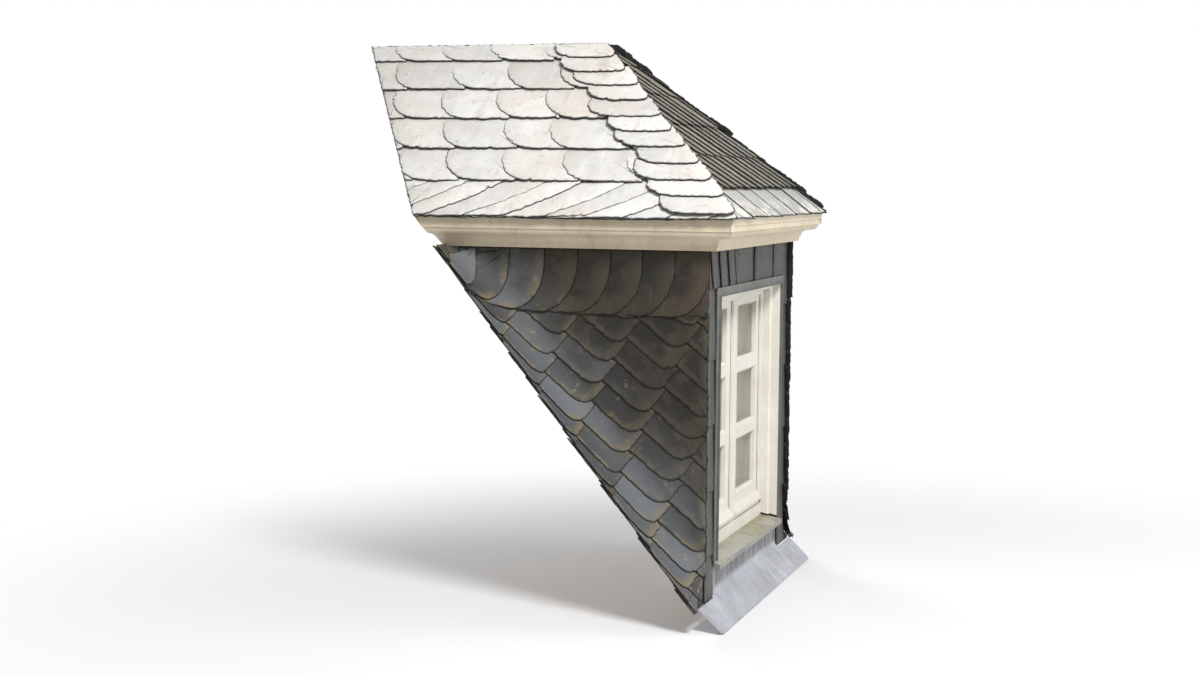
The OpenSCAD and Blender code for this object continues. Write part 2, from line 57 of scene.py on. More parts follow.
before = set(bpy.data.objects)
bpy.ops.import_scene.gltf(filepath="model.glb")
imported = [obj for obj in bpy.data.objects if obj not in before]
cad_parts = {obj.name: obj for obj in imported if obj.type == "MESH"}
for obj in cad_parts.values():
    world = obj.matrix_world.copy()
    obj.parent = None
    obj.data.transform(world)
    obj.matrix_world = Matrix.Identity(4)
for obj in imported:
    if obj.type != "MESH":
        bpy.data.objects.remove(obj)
cad_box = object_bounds()

# Pitch of the sloping seat that the dormer stands on, pitch of its own roof, and thickness of its boards
SEAT_PITCH = radians(52)
ROOF_PITCH = radians(42)
BOARD_T = 0.024

# Planes and edges of the solids, in metres
CHEEK_X = -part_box("left_cheek")[0].x
WALL_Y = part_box("front_boards")[0].y
FACE_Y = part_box("front_slates")[0].y
CORNICE_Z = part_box("left_cornice")[0].z
EAVES_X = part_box("front_roof_boards")[1].x
EAVES_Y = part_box("front_roof_boards")[0].y
EAVES_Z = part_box("front_roof_boards")[0].z
DECK_RISE = BOARD_T / cos(ROOF_PITCH)
RIDGE_V = EAVES_X / cos(ROOF_PITCH)
OPENING_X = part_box("window_frame")[1].x
TRIM_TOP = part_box("opening_trim")[1].z

# The valley: radius of its board's hollow face, the board's edge, and the slates' lap beyond it
VALLEY_R = 0.15
VALLEY_EDGE = 0.008
VALLEY_LAP = 0.06
VALLEY_W = VALLEY_R + VALLEY_EDGE
FOOT_W = VALLEY_W - VALLEY_R * pi / 2 - VALLEY_LAP

# The right cheek's slates lap this far past the corner, above the apron
CORNER_LAP = 0.024

# Level of the foot of the cheeks' tall course, and where the side slopes' courses may end
TALL_FOOT = CORNICE_Z - 0.288
SIDE_END = 1.95

# The apron's fold: its fall, its radius, and the height of its centre over the apron's lower edge
APRON_FALL = radians(43)
APRON_R = 0.03
APRON_DROP = 0.1297
FOLD_Y = WALL_Y - APRON_R
FOLD_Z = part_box("front_apron")[0].z + APRON_DROP


# Sizes and colours that a user would change


class SlateSizes(bpy.types.PropertyGroup):
    """Sizes of the slates and boards."""

    thickness: FloatProperty(
        name="Slate thickness", description="Thickness of one slate", default=0.005, min=0.003, max=0.008,
        unit="LENGTH")
    cheek_thickness: FloatProperty(
        name="Cheek slate thickness", description="Thickness of a slate of the cheeks", default=0.006,
        min=0.004, max=0.008, unit="LENGTH")
    roof_thickness: FloatProperty(
        name="Roof slate thickness", description="Thickness of a slate of the dormer's roof", default=0.0075,
        min=0.005, max=0.01, unit="LENGTH")
    roof_course: FloatProperty(
        name="Roof course", description="Height of a course that shows on the dormer's roof", default=0.215,
        min=0.15, max=0.28, unit="LENGTH")
    front_width: FloatProperty(
        name="Front slate width", description="Distance between the slates of the front slope", default=0.128,
        min=0.09, max=0.2, unit="LENGTH")
    strip_height: FloatProperty(
        name="Corner slate height", description="Height that shows of a slate beside the window",
        default=0.3, min=0.2, max=0.4, unit="LENGTH")
    board_width: FloatProperty(
        name="Board width", description="Width of one rough board", default=0.15, min=0.1, max=0.22,
        unit="LENGTH")
    lining_width: FloatProperty(
        name="Lining board width", description="Width of one planed inner board", default=0.115, min=0.08,
        max=0.16, unit="LENGTH")
    seed: IntProperty(name="Seed", description="Changes the slates' small differences", default=7, min=0)


def colour(name, description, value):
    return FloatVectorProperty(
        name=name, description=description, default=value, size=3, min=0, max=1, subtype="COLOR")


class DormerColours(bpy.types.PropertyGroup):
    """Base colours of the finishes."""

    # The side slopes' pale colour is partly the slates' own pale weathering and partly painted glare that
    # these slopes reflect
    roof_slate: colour("Roof slate", "Bleached slate of the side slopes", (0.68, 0.665, 0.635))
    front_roof_slate: colour("Front slope slate", "Olive-grey slate of the front slope", (0.2, 0.19, 0.155))
    cheek_slate: colour("Cheek slate", "Dark slate of the cheeks", (0.037, 0.031, 0.0225))
    front_slate: colour("Front slate", "Blue-grey slate round the window", (0.052, 0.052, 0.048))
    cream_paint: colour("Cornice paint", "Cream paint of the cornice", (0.62, 0.53, 0.385))
    window_paint: colour("Window paint", "Off-white paint of the window", (0.66, 0.636, 0.57))
    zinc: colour("Zinc", "Dull zinc of the trim round the opening", (0.125, 0.128, 0.12))
    sill: colour("Sill", "Zinc of the window sill's front edge", (0.25, 0.248, 0.235))
    apron: colour("Apron", "Pale zinc of the apron under the window", (0.37, 0.378, 0.412))
    timber: colour("Timber", "Sawn softwood", (0.42, 0.27, 0.15))
    valley_board: colour("Valley board", "Weathered boards under the swept slates", (0.085, 0.078, 0.068))
    lining: colour("Lining", "Planed softwood boards", (0.56, 0.41, 0.24))
    curtain: colour("Curtain", "Net of the curtains", (0.6, 0.5, 0.36))


# Shader maths


class Value:
    """A node's output that is used in plain arithmetic."""

    def __init__(self, nodes, socket):
        self.nodes = nodes
        self.socket = socket

    def maths(self, operation, *values):
        return self.nodes.node("ShaderNodeMath", {"operation": operation}, dict(enumerate(values)))

    def __add__(self, other):
        return self.maths("ADD", self, other)

    def __sub__(self, other):
        return self.maths("SUBTRACT", self, other)

    def __rsub__(self, other):
        return self.maths("SUBTRACT", other, self)

    def __mul__(self, other):
        return self.maths("MULTIPLY", self, other)

    def __truediv__(self, other):
        return self.maths("DIVIDE", self, other)

    __radd__ = __add__
    __rmul__ = __mul__

    def floor(self):
        return self.maths("FLOOR", self)

    def over(self, low, high):
        """0 below low and 1 above high, smooth in between; turned over where low is the larger."""
        return self.nodes.node(
            "ShaderNodeMapRange", {"interpolation_type": "SMOOTHSTEP"},
            {0: self, 1: low, 2: high, 3: 0.0, 4: 1.0})


class Nodes:
    """A node tree, and the one way in which nodes are added to it."""

    def __init__(self, tree):
        self.tree = tree

    def node(self, kind, settings=None, inputs=None, output=0):
        """Adds a node, its settings first and then the values or links of its sockets. Gives one output."""
        node = self.tree.nodes.new(kind)
        for key, value in (settings or {}).items():
            setattr(node, key, value)
        for key, value in (inputs or {}).items():
            self.feed(node.inputs[key], value)
        return Value(self, node.outputs[output])

    def feed(self, socket, value):
        if isinstance(value, Value):
            self.tree.links.new(value.socket, socket)
        elif socket.type == "RGBA" and len(value) == 3:
            socket.default_value = (*value, 1)
        else:
            socket.default_value = value

    def ray(self, kind):
        """1 where a ray of this kind looks, 0 for the others."""
        return self.node("ShaderNodeLightPath", output=kind)

    def surface(self, end, factor, first, second):
        """Mixes two shaders and feeds them to the tree's end node."""
        mixed = self.node("ShaderNodeMixShader", None, {0: factor, 1: first, 2: second})
        self.feed(self.tree.nodes[end].inputs["Surface"], mixed)


class Finish(Nodes):
    """One material: its shader and the nodes behind it."""

    def __init__(self, name, roughness=0.7, **constants):
        self.material = bpy.data.materials.new(name)
        self.material.use_nodes = True
        super().__init__(self.material.node_tree)
        self.shader = self.tree.nodes["Principled BSDF"]
        self.shader.inputs["Roughness"].default_value = roughness
        for socket, value in constants.items():
            self.shader.inputs[socket.replace("_", " ")].default_value = value

    def mix(self, factor, first, second):
        """A colour from first to second."""
        return self.node("ShaderNodeMix", {"data_type": "RGBA"}, {0: factor, 6: first, 7: second}, output=2)

    def place(self, scale=(1, 1, 1), turn=(0, 0, 0)):
        """The object's own coordinates in metres, turned and then stretched."""
        turned = self.node("ShaderNodeMapping", None, {"Vector": self.own(), "Rotation": turn})
        return self.node("ShaderNodeMapping", None, {"Vector": turned, "Scale": scale})

    def own(self):
        """The object's own coordinates in metres."""
        return self.node("ShaderNodeTexCoord", output="Object")

    def axes(self):
        """The object's own X, Y and Z in metres."""
        own = self.own()
        return [self.node("ShaderNodeSeparateXYZ", None, {0: own}, output=axis) for axis in "XYZ"]

    def piece(self, scale=(1, 1, 1)):
        """Coordinates that start anew in each slate or board, stretched."""
        spot = self.node("ShaderNodeAttribute", {"attribute_name": "place"}, output="Vector")
        return self.node("ShaderNodeMapping", None, {"Vector": spot, "Scale": scale})

    def stored(self, name):
        """A number that the mesh stores at its points."""
        return self.node("ShaderNodeAttribute", {"attribute_name": name}, output="Fac")

    def shade(self):
        """A number from 0 to 1 for each slate or board."""
        return self.stored("shade")

    def rim(self):
        """1 at the edges of a slate or board, 0 inside."""
        return self.stored("rim")

    def inside(self):
        """0 at a slate's edge, rising to 1 at its middle."""
        return self.stored("inside")

    def under(self):
        """1 on a slate's underside and the foot of its edge, where shade is painted, 0 on its face."""
        return self.stored("under")

    def noise(self, where, scale, detail=4.0, rough=0.55, distortion=0.0):
        return self.node("ShaderNodeTexNoise", None, {
            "Vector": where, "Scale": scale, "Detail": detail, "Roughness": rough, "Distortion": distortion})

    def facing_up(self):
        """1 on level faces, 0 on upright ones."""
        normal = self.node("ShaderNodeNewGeometry", output="Normal")
        return self.node("ShaderNodeSeparateXYZ", None, {0: normal}, output="Z")

    def shading(self):
        """The shader's own output."""
        return Value(self, self.shader.outputs[0])

    def colour(self, value):
        self.feed(self.shader.inputs["Base Color"], value)

    def slate_colour(self, value, edge):
        """The slate's colour, with painted shade making its edges and underside dark."""
        self.colour(self.mix(self.under().over(0.05, 0.55), value, edge))

    def roughness(self, value):
        self.feed(self.shader.inputs["Roughness"], value)

    def bump(self, height, distance):
        relief = self.node("ShaderNodeBump", None, {"Strength": 1.0, "Distance": distance, "Height": height})
        self.feed(self.shader.inputs["Normal"], relief)


def scaled(value, by):
    """A colour with each channel times its own factor."""
    return tuple(min(1.0, channel * factor) for channel, factor in zip(value, by))


# Slate finishes


def slate_finish(name, base, pale, brown, contrast=1.0, streaks=0.3, chips=0.4, scale=1.0, rough=0.62,
                 gloss=0.4):
    """Split slate: clefts, streaks down the slope, chipped edges and weathering. Gives also its colour."""
    finish = Finish(name, rough, Specular_IOR_Level=gloss)
    spot = finish.piece()
    world = finish.place()
    cloud = finish.noise(spot, 9 * scale, 5, 0.6)
    grain = finish.noise(finish.piece((34, 34, 34)), 4, 6, 0.7)
    streak = finish.noise(finish.piece((26, 3.2, 3.2)), 1.4, 4, 0.6)
    patch = finish.noise(world, 2.3, 4, 0.55)
    shade = finish.shade()
    tone = shade * 0.5 + cloud.over(0.25, 0.75) * 0.3 + grain.over(0.2, 0.8) * 0.2
    dark = scaled(base, [1 - 0.45 * contrast] * 3)
    light = scaled(base, [1 + 0.45 * contrast] * 3)
    body = finish.mix(tone, dark, light)
    body = finish.mix(patch.over(0.42, 0.68) * 0.55 + shade.over(0.75, 0.95) * 0.25, body, brown)
    body = finish.mix(streak.over(0.5, 0.72) * streaks, body, pale)
    chip = finish.rim().over(0.35, 0.95) * finish.noise(spot, 46, 3).over(0.45, 0.65)
    body = finish.mix(chip * chips, body, pale)
    finish.roughness(rough + (grain - 0.5) * 0.2)
    cleft = finish.noise(finish.piece((7, 10, 10)), 1.6, 3, 0.5, 0.6)
    steps = (cleft * 9).floor() / 9
    finish.bump(steps * 0.7 + cleft * 0.3 + grain * 0.35, 0.0035)
    return finish, body


def cheek_slate_finish(colours):
    base = tuple(colours.cheek_slate)
    finish, body = slate_finish("cheek slate", base, scaled(base, (4.2, 4.2, 4.4)),
                                scaled(base, (1.7, 1.5, 1.25)), streaks=0.1, gloss=0.25)
    y, z = finish.axes()[1:]
    world = finish.place()
    # The nearer to the sloping seat, the bluer and paler the slates: partly a paler slate, partly painted sky
    # reflection where the swept slates turn up to the sky. There they also have tan edges and lichen
    out = z * cos(SEAT_PITCH) - y * sin(SEAT_PITCH)
    swept = (out + finish.noise(world, 3, 2) * 0.3).over(0.62, 0.2)
    shade = finish.shade()
    # Painted sky reflection, together with the slates' own paler tone
    paler_and_sky_lit = finish.mix(shade, scaled(base, (1.5, 2.0, 3.0)), scaled(base, (3.6, 4.6, 6.9)))
    body = finish.mix(swept * (0.5 + shade * 0.5), body, paler_and_sky_lit)
    cloud = finish.noise(finish.piece(), 7, 3)
    blot = finish.inside().over(0.1, 0.55) * cloud.over(0.38, 0.52) * (1 - swept)
    body = finish.mix(blot * 0.8, body, scaled(base, (0.36, 0.4, 0.5)))
    tan_edge = (1 - finish.inside()).over(0.7, 1) * finish.noise(world, 11, 4).over(0.42, 0.6) * swept
    body = finish.mix(tan_edge * 0.65, body, (0.21, 0.165, 0.09))
    lichen = finish.noise(world, 26, 5, 0.7).over(0.6, 0.68) * swept
    body = finish.mix(lichen * 0.6, body, (0.28, 0.24, 0.09))
    pale_slate = shade.over(0.93, 0.94) * swept.over(0.5, 0.8)
    body = finish.mix(pale_slate * 0.8, body, (0.3, 0.31, 0.35))
    # Painted shade: the cheek slates' undersides and edges are nearly black
    finish.slate_colour(body, (0.006, 0.005, 0.004))
    return finish


def front_slate_finish(colours):
    base = tuple(colours.front_slate)
    finish, body = slate_finish("front slate", base, scaled(base, (2.3, 2.25, 2.15)),
                                scaled(base, (0.85, 0.8, 0.72)), contrast=0.9, streaks=0.4, chips=0.35,
                                scale=0.8, rough=0.5)
    run = finish.noise(finish.place((16, 16, 1.1)), 1.0, 4, 0.6).over(0.48, 0.7)
    # Painted shade: the front slates' undersides and edges are nearly black
    finish.slate_colour(finish.mix(run * 0.4, body, scaled(base, (2.0, 2.0, 1.9))), (0.01, 0.01, 0.011))
    return finish


def roof_slate_finish(colours):
    base = tuple(colours.roof_slate)
    # The pale base is partly painted glare of the side slopes
    finish, body = slate_finish("roof slate", base, (0.84, 0.83, 0.8), scaled(base, (0.92, 0.86, 0.8)),
                                contrast=0.7, streaks=0.25, chips=0.3, rough=0.7)
    speck = finish.noise(finish.place(), 34, 4, 0.7).over(0.6, 0.7)
    stain = finish.noise(finish.place((1, 4, 1)), 3.2, 4, 0.6).over(0.56, 0.72)
    rose = finish.noise(finish.piece((1, 2, 1)), 5, 4, 0.6).over(0.5, 0.66)
    body = finish.mix(stain * 0.45, body, scaled(base, (0.72, 0.62, 0.54)))
    body = finish.mix(rose * 0.35, body, scaled(base, (0.98, 0.84, 0.78)))
    body = finish.mix(speck * 0.55, body, scaled(base, (0.42, 0.39, 0.36)))
    # Fine cracks, on some slates only
    line = finish.noise(finish.piece((6, 20, 20)), 1.3, 3, 0.6, 0.8)
    crack = (line.over(0.49, 0.5) - line.over(0.5, 0.51)) * finish.shade().over(0.6, 0.8)
    body = finish.mix(crack * 0.4, body, scaled(base, (0.45, 0.4, 0.36)))
    # Painted shade: the roof slates' undersides and edges are nearly black
    finish.slate_colour(body, (0.01, 0.009, 0.007))
    return finish


def front_roof_finish(colours):
    base = tuple(colours.front_roof_slate)
    finish, body = slate_finish("front slope slate", base, (0.55, 0.53, 0.47),
                                scaled(base, (0.75, 0.62, 0.45)), streaks=0.22, chips=0.35)
    z = finish.axes()[2]
    # The eaves course is paler, and flaking towards its foot
    low = z.over(EAVES_Z + 0.155, EAVES_Z + 0.145)
    flake = finish.noise(finish.place((1, 1, 2)), 9, 5, 0.65).over(0.5, 0.56)
    flake = flake * z.over(EAVES_Z + 0.13, EAVES_Z + 0.05)
    body = finish.mix(low * 0.8, body, (0.43, 0.43, 0.41))
    body = finish.mix(low * flake * 0.9, body, (0.68, 0.65, 0.58))
    # Painted shade: the front slope slates' undersides and edges are nearly black
    finish.slate_colour(body, (0.014, 0.013, 0.011))
    return finish


# Other finishes


def paint_finish(name, base, dirt, rough=0.38, streaks=0.35, spots=0.5):
    """Aged paint: brush marks, dirt runs, a few spots, and dirt on what faces up."""
    finish = Finish(name, rough, Coat_Weight=0.12)
    world = finish.place()
    soft = finish.noise(world, 6, 4, 0.6)
    run = finish.noise(finish.place((22, 22, 2.2)), 1.0, 4, 0.6)
    speck = finish.noise(world, 48, 4, 0.65)
    body = finish.mix(soft.over(0.3, 0.72), scaled(base, (0.93, 0.92, 0.9)), scaled(base, (1.05, 1.05, 1.05)))
    body = finish.mix(run.over(0.52, 0.74) * streaks, body, dirt)
    body = finish.mix(speck.over(0.66, 0.72) * spots, body, scaled(dirt, (0.5, 0.38, 0.3)))
    body = finish.mix(finish.facing_up().over(0.3, 0.9) * soft.over(0.35, 0.6) * 0.4, body, dirt)
    finish.colour(body)
    finish.roughness(rough + soft * 0.25)
    brush = finish.noise(finish.place((90, 90, 9)), 1.0, 3, 0.6)
    finish.bump(brush * 0.5 + finish.noise(world, 140, 3) * 0.5, 0.0005)
    return finish


def wood_finish(name, base, along, rough=0.75, knots=0.5, planed=False):
    """Softwood with its grain along one direction of the frame, or along each board."""
    finish = Finish(name, rough, Specular_IOR_Level=0.3)
    stretch = [26.0, 26.0, 26.0]
    if along is None:
        where = finish.piece((1.6, 26, 26))
        spot = finish.piece()
        shade = finish.shade()
    else:
        stretch["xyz".index(along[0])] = 1.6
        turn = (-SEAT_PITCH, 0, 0) if along == "y slope" else (0, 0, 0)
        where = finish.place(stretch, turn)
        spot = finish.place()
        shade = finish.noise(spot, 1.5, 2)
    ring = finish.noise(where, 1.5, 3, 0.5, 1.2)
    fibre = finish.noise(where, 7, 4, 0.7)
    knot = finish.noise(spot, 7.5, 1).over(0.72, 0.78)
    tone = ring.over(0.3, 0.7) * 0.6 + fibre * 0.25 + shade * 0.3
    body = finish.mix(tone, scaled(base, (0.62, 0.56, 0.5)), scaled(base, (1.22, 1.2, 1.16)))
    body = finish.mix(knot * knots, body, scaled(base, (0.35, 0.26, 0.2)))
    body = finish.mix(finish.noise(spot, 2.6, 4).over(0.5, 0.75) * 0.4, body, scaled(base, (0.55, 0.58, 0.6)))
    finish.colour(body)
    finish.roughness(rough + (fibre - 0.5) * 0.2)
    finish.bump(ring * 0.5 + fibre, 0.0006 if planed else 0.002)
    return finish


def zinc_finish(name, base, pale, stain, stains=0.4, wrinkle=0.002):
    """Weathered sheet zinc: cloudy oxide, pale streaks, stains and dark specks. Gives also its colour."""
    finish = Finish(name, 0.5, Metallic=0.35)
    world = finish.place()
    cloud = finish.noise(world, 5, 5, 0.6)
    run = finish.noise(finish.place((18, 5, 3)), 1.0, 4, 0.6)
    speck = finish.noise(world, 60, 4, 0.7)
    body = finish.mix(cloud.over(0.3, 0.7), scaled(base, (0.8, 0.8, 0.8)), scaled(base, (1.2, 1.2, 1.2)))
    body = finish.mix(run.over(0.5, 0.75) * 0.5, body, pale)
    body = finish.mix(cloud.over(0.55, 0.75) * stains, body, stain)
    body = finish.mix(speck.over(0.6, 0.7) * 0.3, body, scaled(base, (0.5, 0.5, 0.48)))
    finish.roughness(0.42 + cloud * 0.25)
    finish.bump(finish.noise(world, 7, 2, 0.4) + speck * 0.06, wrinkle * 3)
    return finish, body


def trim_finish(colours):
    base = tuple(colours.zinc)
    finish, body = zinc_finish("trim zinc", base, scaled(base, (1.9, 1.85, 1.75)),
                               scaled(base, (0.8, 0.82, 0.7)), wrinkle=0.0006)
    finish.colour(body)
    return finish


def sill_finish(colours):
    """Off-white on top, greener towards the window and the right."""
    finish, body = zinc_finish("sill zinc", tuple(colours.sill), (0.42, 0.415, 0.39), (0.24, 0.23, 0.14),
                               stains=0.5, wrinkle=0.0006)
    x, y = finish.axes()[:2]
    green = finish.noise(finish.place(), 9, 5, 0.6) + x.over(-0.5, 0.7) * 0.12 + y.over(-0.09, 0) * 0.1
    top = finish.mix(green.over(0.52, 0.72) * 0.75, (0.42, 0.405, 0.355), (0.27, 0.245, 0.12))
    finish.colour(finish.mix(finish.facing_up().over(0.5, 0.9) * 0.9, body, top))
    return finish


def apron_finish(colours):
    """Pale below the fold, with dark runs on the upstand above it."""
    finish, body = zinc_finish("apron zinc", tuple(colours.apron), (0.64, 0.65, 0.68), (0.23, 0.24, 0.26),
                               stains=0.5, wrinkle=0.004)
    z = finish.axes()[2]
    wall = (z + finish.noise(finish.place(), 7, 3) * 0.03).over(FOLD_Z + 0.012, FOLD_Z + 0.04)
    runs = finish.noise(finish.place((30, 6, 2)), 1.0, 4)
    upstand = finish.mix(runs.over(0.35, 0.65), (0.11, 0.112, 0.11), (0.26, 0.265, 0.27))
    finish.colour(finish.mix(wall * 0.9, body, upstand))
    return finish


def net_finish(colours):
    """Fine net, with its threads in the bump and slightly see-through."""
    base = tuple(colours.curtain)
    finish = Finish("net curtain", 0.9, Alpha=0.9, Sheen_Weight=0.2)
    world = finish.place((1, 0.1, 1))
    threads = finish.noise(finish.place((900, 900, 900)), 1.0, 2)
    soft = finish.noise(world, 9, 3)
    finish.colour(finish.mix(soft * 0.6 + threads * 0.4, scaled(base, (0.8, 0.78, 0.74)), base))
    finish.bump(threads, 0.0006)
    return finish


def glass_finish():
    """Clear panes: light goes straight through, and the surface mirrors more at a glancing angle."""
    finish = Finish("pane glass", 0.04, Metallic=1.0)
    finish.shader.inputs["Base Color"].default_value = (0.9, 0.94, 0.95, 1)
    smear = finish.noise(finish.place((3, 3, 1.5)), 4, 3)
    finish.roughness(0.03 + smear * 0.05)
    clear = finish.node("ShaderNodeBsdfTransparent", None, {0: (0.96, 0.96, 0.94)})
    glance = finish.node("ShaderNodeFresnel", None, {0: 1.4})
    finish.surface("Material Output", glance * 0.7 + 0.02, clear, finish.shading())
    return finish


def dress(finish, *nodes):
    """Puts a finish on CAD nodes, whose shapes stay."""
    for name in nodes:
        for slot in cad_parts[name].material_slots:
            slot.link = "OBJECT"
            slot.material = finish.material


# Surfaces that slates lie on: flat coordinates and a height above the boards to a point


def left_slope(points, height):
    """Y and the distance up the left slope."""
    y, v = points.T
    return np.stack([v * cos(ROOF_PITCH) - EAVES_X - height * sin(ROOF_PITCH), y,
                     EAVES_Z + DECK_RISE + v * sin(ROOF_PITCH) + height * cos(ROOF_PITCH)], 1)


def front_slope(points, height):
    """X and the distance up the front slope."""
    x, v = points.T
    return np.stack([x, EAVES_Y + v * cos(ROOF_PITCH) - height * sin(ROOF_PITCH),
                     EAVES_Z + DECK_RISE + v * sin(ROOF_PITCH) + height * cos(ROOF_PITCH)], 1)


def front_wall(points, height):
    """X and Z on the front wall's boards."""
    x, z = points.T
    return np.stack([x, WALL_Y - height, z], 1)


def left_cheek_wall(points, height):
    """Distance up the sloping seat, and away from it: the cheek, the hollow of the valley, and the seat."""
    s, w = points.T
    turn = np.clip((VALLEY_W - w) / VALLEY_R, 0, pi / 2)
    past = np.maximum(VALLEY_W - w - VALLEY_R * pi / 2, 0)
    ease = (1 - np.clip(turn / 0.7, 0, 1)) ** 2
    reach = VALLEY_R + VALLEY_EDGE * ease - height
    x = reach * np.cos(turn) - CHEEK_X - VALLEY_W - past
    v = VALLEY_W - reach * np.sin(turn) + np.maximum(w - VALLEY_W, 0)
    return np.stack([x, s * cos(SEAT_PITCH) - v * sin(SEAT_PITCH),
                     s * sin(SEAT_PITCH) + v * cos(SEAT_PITCH)], 1)


def mirrored(surface):
    """The same surface on the right side."""
    return lambda points, height: surface(points, height) * (-1, 1, 1)


# Outlines


def spaced(points, step):
    """The closed outline with points about a step apart, its corners kept."""
    out = []
    for start, end in zip(points, np.roll(points, -1, axis=0)):
        count = max(1, round(float(np.linalg.norm(end - start)) / step))
        out.extend(start + (end - start) * (i / count) for i in range(count))
    return np.array(out)


def trimmed(points, inside):
    """The part of a closed outline where inside isn't negative."""
    if len(points) < 3:
        return points
    value = inside(points)
    if (value >= 0).all():
        return points
    out = []
    for i in range(len(points)):
        k = (i + 1) % len(points)
        if value[i] >= 0:
            out.append(points[i])
        if (value[i] >= 0) != (value[k] >= 0):
            kept, lost = (points[i], points[k]) if value[i] >= 0 else (points[k], points[i])
            for _ in range(14):
                middle = (kept + lost) / 2
                if inside(middle[None])[0] >= 0:
                    kept = middle
                else:
                    lost = middle
            out.append(kept)
    return np.array(out).reshape(-1, 2)


def area_of(points):
    """The area of an outline, negative where it runs clockwise."""
    x, y = points.T
    return float(np.sum(x * np.roll(y, -1) - np.roll(x, -1) * y)) / 2


def bend(centre, rx, ry, first, last, count=9):
    """Part of an ellipse, in degrees."""
    angles = np.radians(np.linspace(first, last, count))
    return [(centre[0] + rx * cos(a), centre[1] + ry * sin(a)) for a in angles]


class SlateField:
    """Slates on one surface, each a thin plate with a worn edge, joined into one piece."""

    def __init__(self, name, surface, thickness, seed, curved=False):
        self.name = name
        self.surface = surface
        self.thickness = thickness
        self.curved = curved
        self.random = np.random.default_rng(seed)
        self.points, self.faces, self.smooth = [], [], []
        self.rim, self.under, self.inside, self.shades, self.places = [], [], [], [], []
        self.count = 0

    def lay(self, outline, lift, limits=(), wear=0.0016, step=0.011, bevel=0.004, turn=0.0):
        """Adds a slate. lift gives its underside's height at flat coordinates, turn its pattern's angle."""
        random = self.random
        points = spaced(np.asarray(outline, float), 0.02)
        for limit in limits:
            points = trimmed(points, limit)
        if len(points) < 3 or abs(area_of(points)) < 5e-4:
            return
        if area_of(points) < 0:
            points = points[::-1]
        points, outward = self.worn(spaced(points, step), wear)
        count = len(points)
        centre = points.mean(axis=0)
        start_of_pattern = random.uniform(-20, 20, 3)
        inset = bevel * (0.5 + random.random(count))
        inset = inset * 0.6 + np.roll(inset, 1) * 0.4
        inner = points - outward * inset[:, None]
        t = self.thickness * random.uniform(0.85, 1.2)
        drop = np.minimum(inset * 0.5, t * 0.55)
        lie = random.uniform(0, 0.0006)

        # Closed rings, from the underside round the edge to the middle of the face. Only a slate on
        # a curved surface has rings on its underside. Each ring has its flat points, its height over
        # the underside, and its rim, painted underside shade and inside values.
        steps = (0.8, 0.6, 0.4, 0.2) if self.curved else (0.5,)
        rings = []
        if self.curved:
            rings += [(centre + (points - centre) * k, 0.0, 1, 1, 0) for k in reversed(steps)]
        rings += [(points, 0.0, 1, 1, 0), (points, t - drop, 1, 0.55, 0), (inner, t, 0.45, 0, 0)]
        rings += [(centre + (inner - centre) * k, t + random.normal(0, 0.0002, count), 0, 0, 1 - k)
                  for k in steps]
        ends = ((centre[None], 0.0, 1, 1, 0), (centre[None], t, 0, 0, 1))
        for spots, extra, rim, under, inside in (*rings, *ends):
            self.points.append(self.surface(spots, lift(spots) + lie + extra))
            self.rim.extend([rim] * len(spots))
            self.under.extend([under] * len(spots))
            self.inside.extend([inside] * len(spots))
            flat = spots - centre
            if turn:
                flat = flat @ np.array([[cos(turn), -sin(turn)], [sin(turn), cos(turn)]])
            depth = (np.zeros(len(spots)) + extra)[:, None]
            self.places.append(np.concatenate([flat, depth], 1) + start_of_pattern)
        self.join(count, len(rings), len(steps))

    def worn(self, points, wear):
        """An outline with a wavy edge and a few chips, and the outward direction at each of its points."""
        random = self.random
        count = len(points)
        along = np.roll(points, -1, axis=0) - np.roll(points, 1, axis=0)
        along /= np.maximum(np.linalg.norm(along, axis=1), 1e-9)[:, None]
        outward = np.stack([along[:, 1], -along[:, 0]], 1)
        wave = random.normal(0, wear, count)
        wave = wave * 0.5 + np.roll(wave, 1) * 0.25 + np.roll(wave, -1) * 0.25
        for _ in range(random.integers(0, 4)):
            k = random.integers(0, count)
            size = random.uniform(1.2, 3.2) * wear
            wave[k] -= size
            wave[(k + 1) % count] -= size * random.uniform(0.3, 1)
        return points + outward * wave[:, None], outward

    def join(self, count, rings, steps):
        """Faces between the rings last added, each of count points, and at both ends to a middle point."""
        start = self.count
        i = np.arange(count)
        k = (i + 1) % count
        edge = rings - steps - 3
        for ring in range(rings - 1):
            low, high = start + ring * count, start + (ring + 1) * count
            self.faces.extend(np.stack([low + i, low + k, high + k, high + i], 1).tolist())
            self.smooth.extend([ring not in (edge, edge + 1)] * count)
        last = start + (rings - 1) * count
        foot, top = start + rings * count, start + rings * count + 1
        self.faces.extend(np.stack([start + k, start + i, np.full(count, foot)], 1).tolist())
        self.faces.extend(np.stack([last + i, last + k, np.full(count, top)], 1).tolist())
        self.smooth.extend([True] * (2 * count))
        total = rings * count + 2
        self.shades.extend([float(self.random.random())] * total)
        self.count += total

    def build(self, finish, slot, *nodes):
        """The joined piece, standing for its CAD nodes."""
        mesh = bpy.data.meshes.new(self.name)
        mesh.from_pydata(np.concatenate(self.points).tolist(), [], self.faces)
        mesh.polygons.foreach_set("use_smooth", self.smooth)
        add_values(mesh, "rim", self.rim)
        add_values(mesh, "under", self.under)
        add_values(mesh, "inside", self.inside)
        add_values(mesh, "shade", self.shades)
        add_values(mesh, "place", np.concatenate(self.places))
        outwards(mesh)
        return add_piece(self.name, mesh, finish, slot, *nodes)


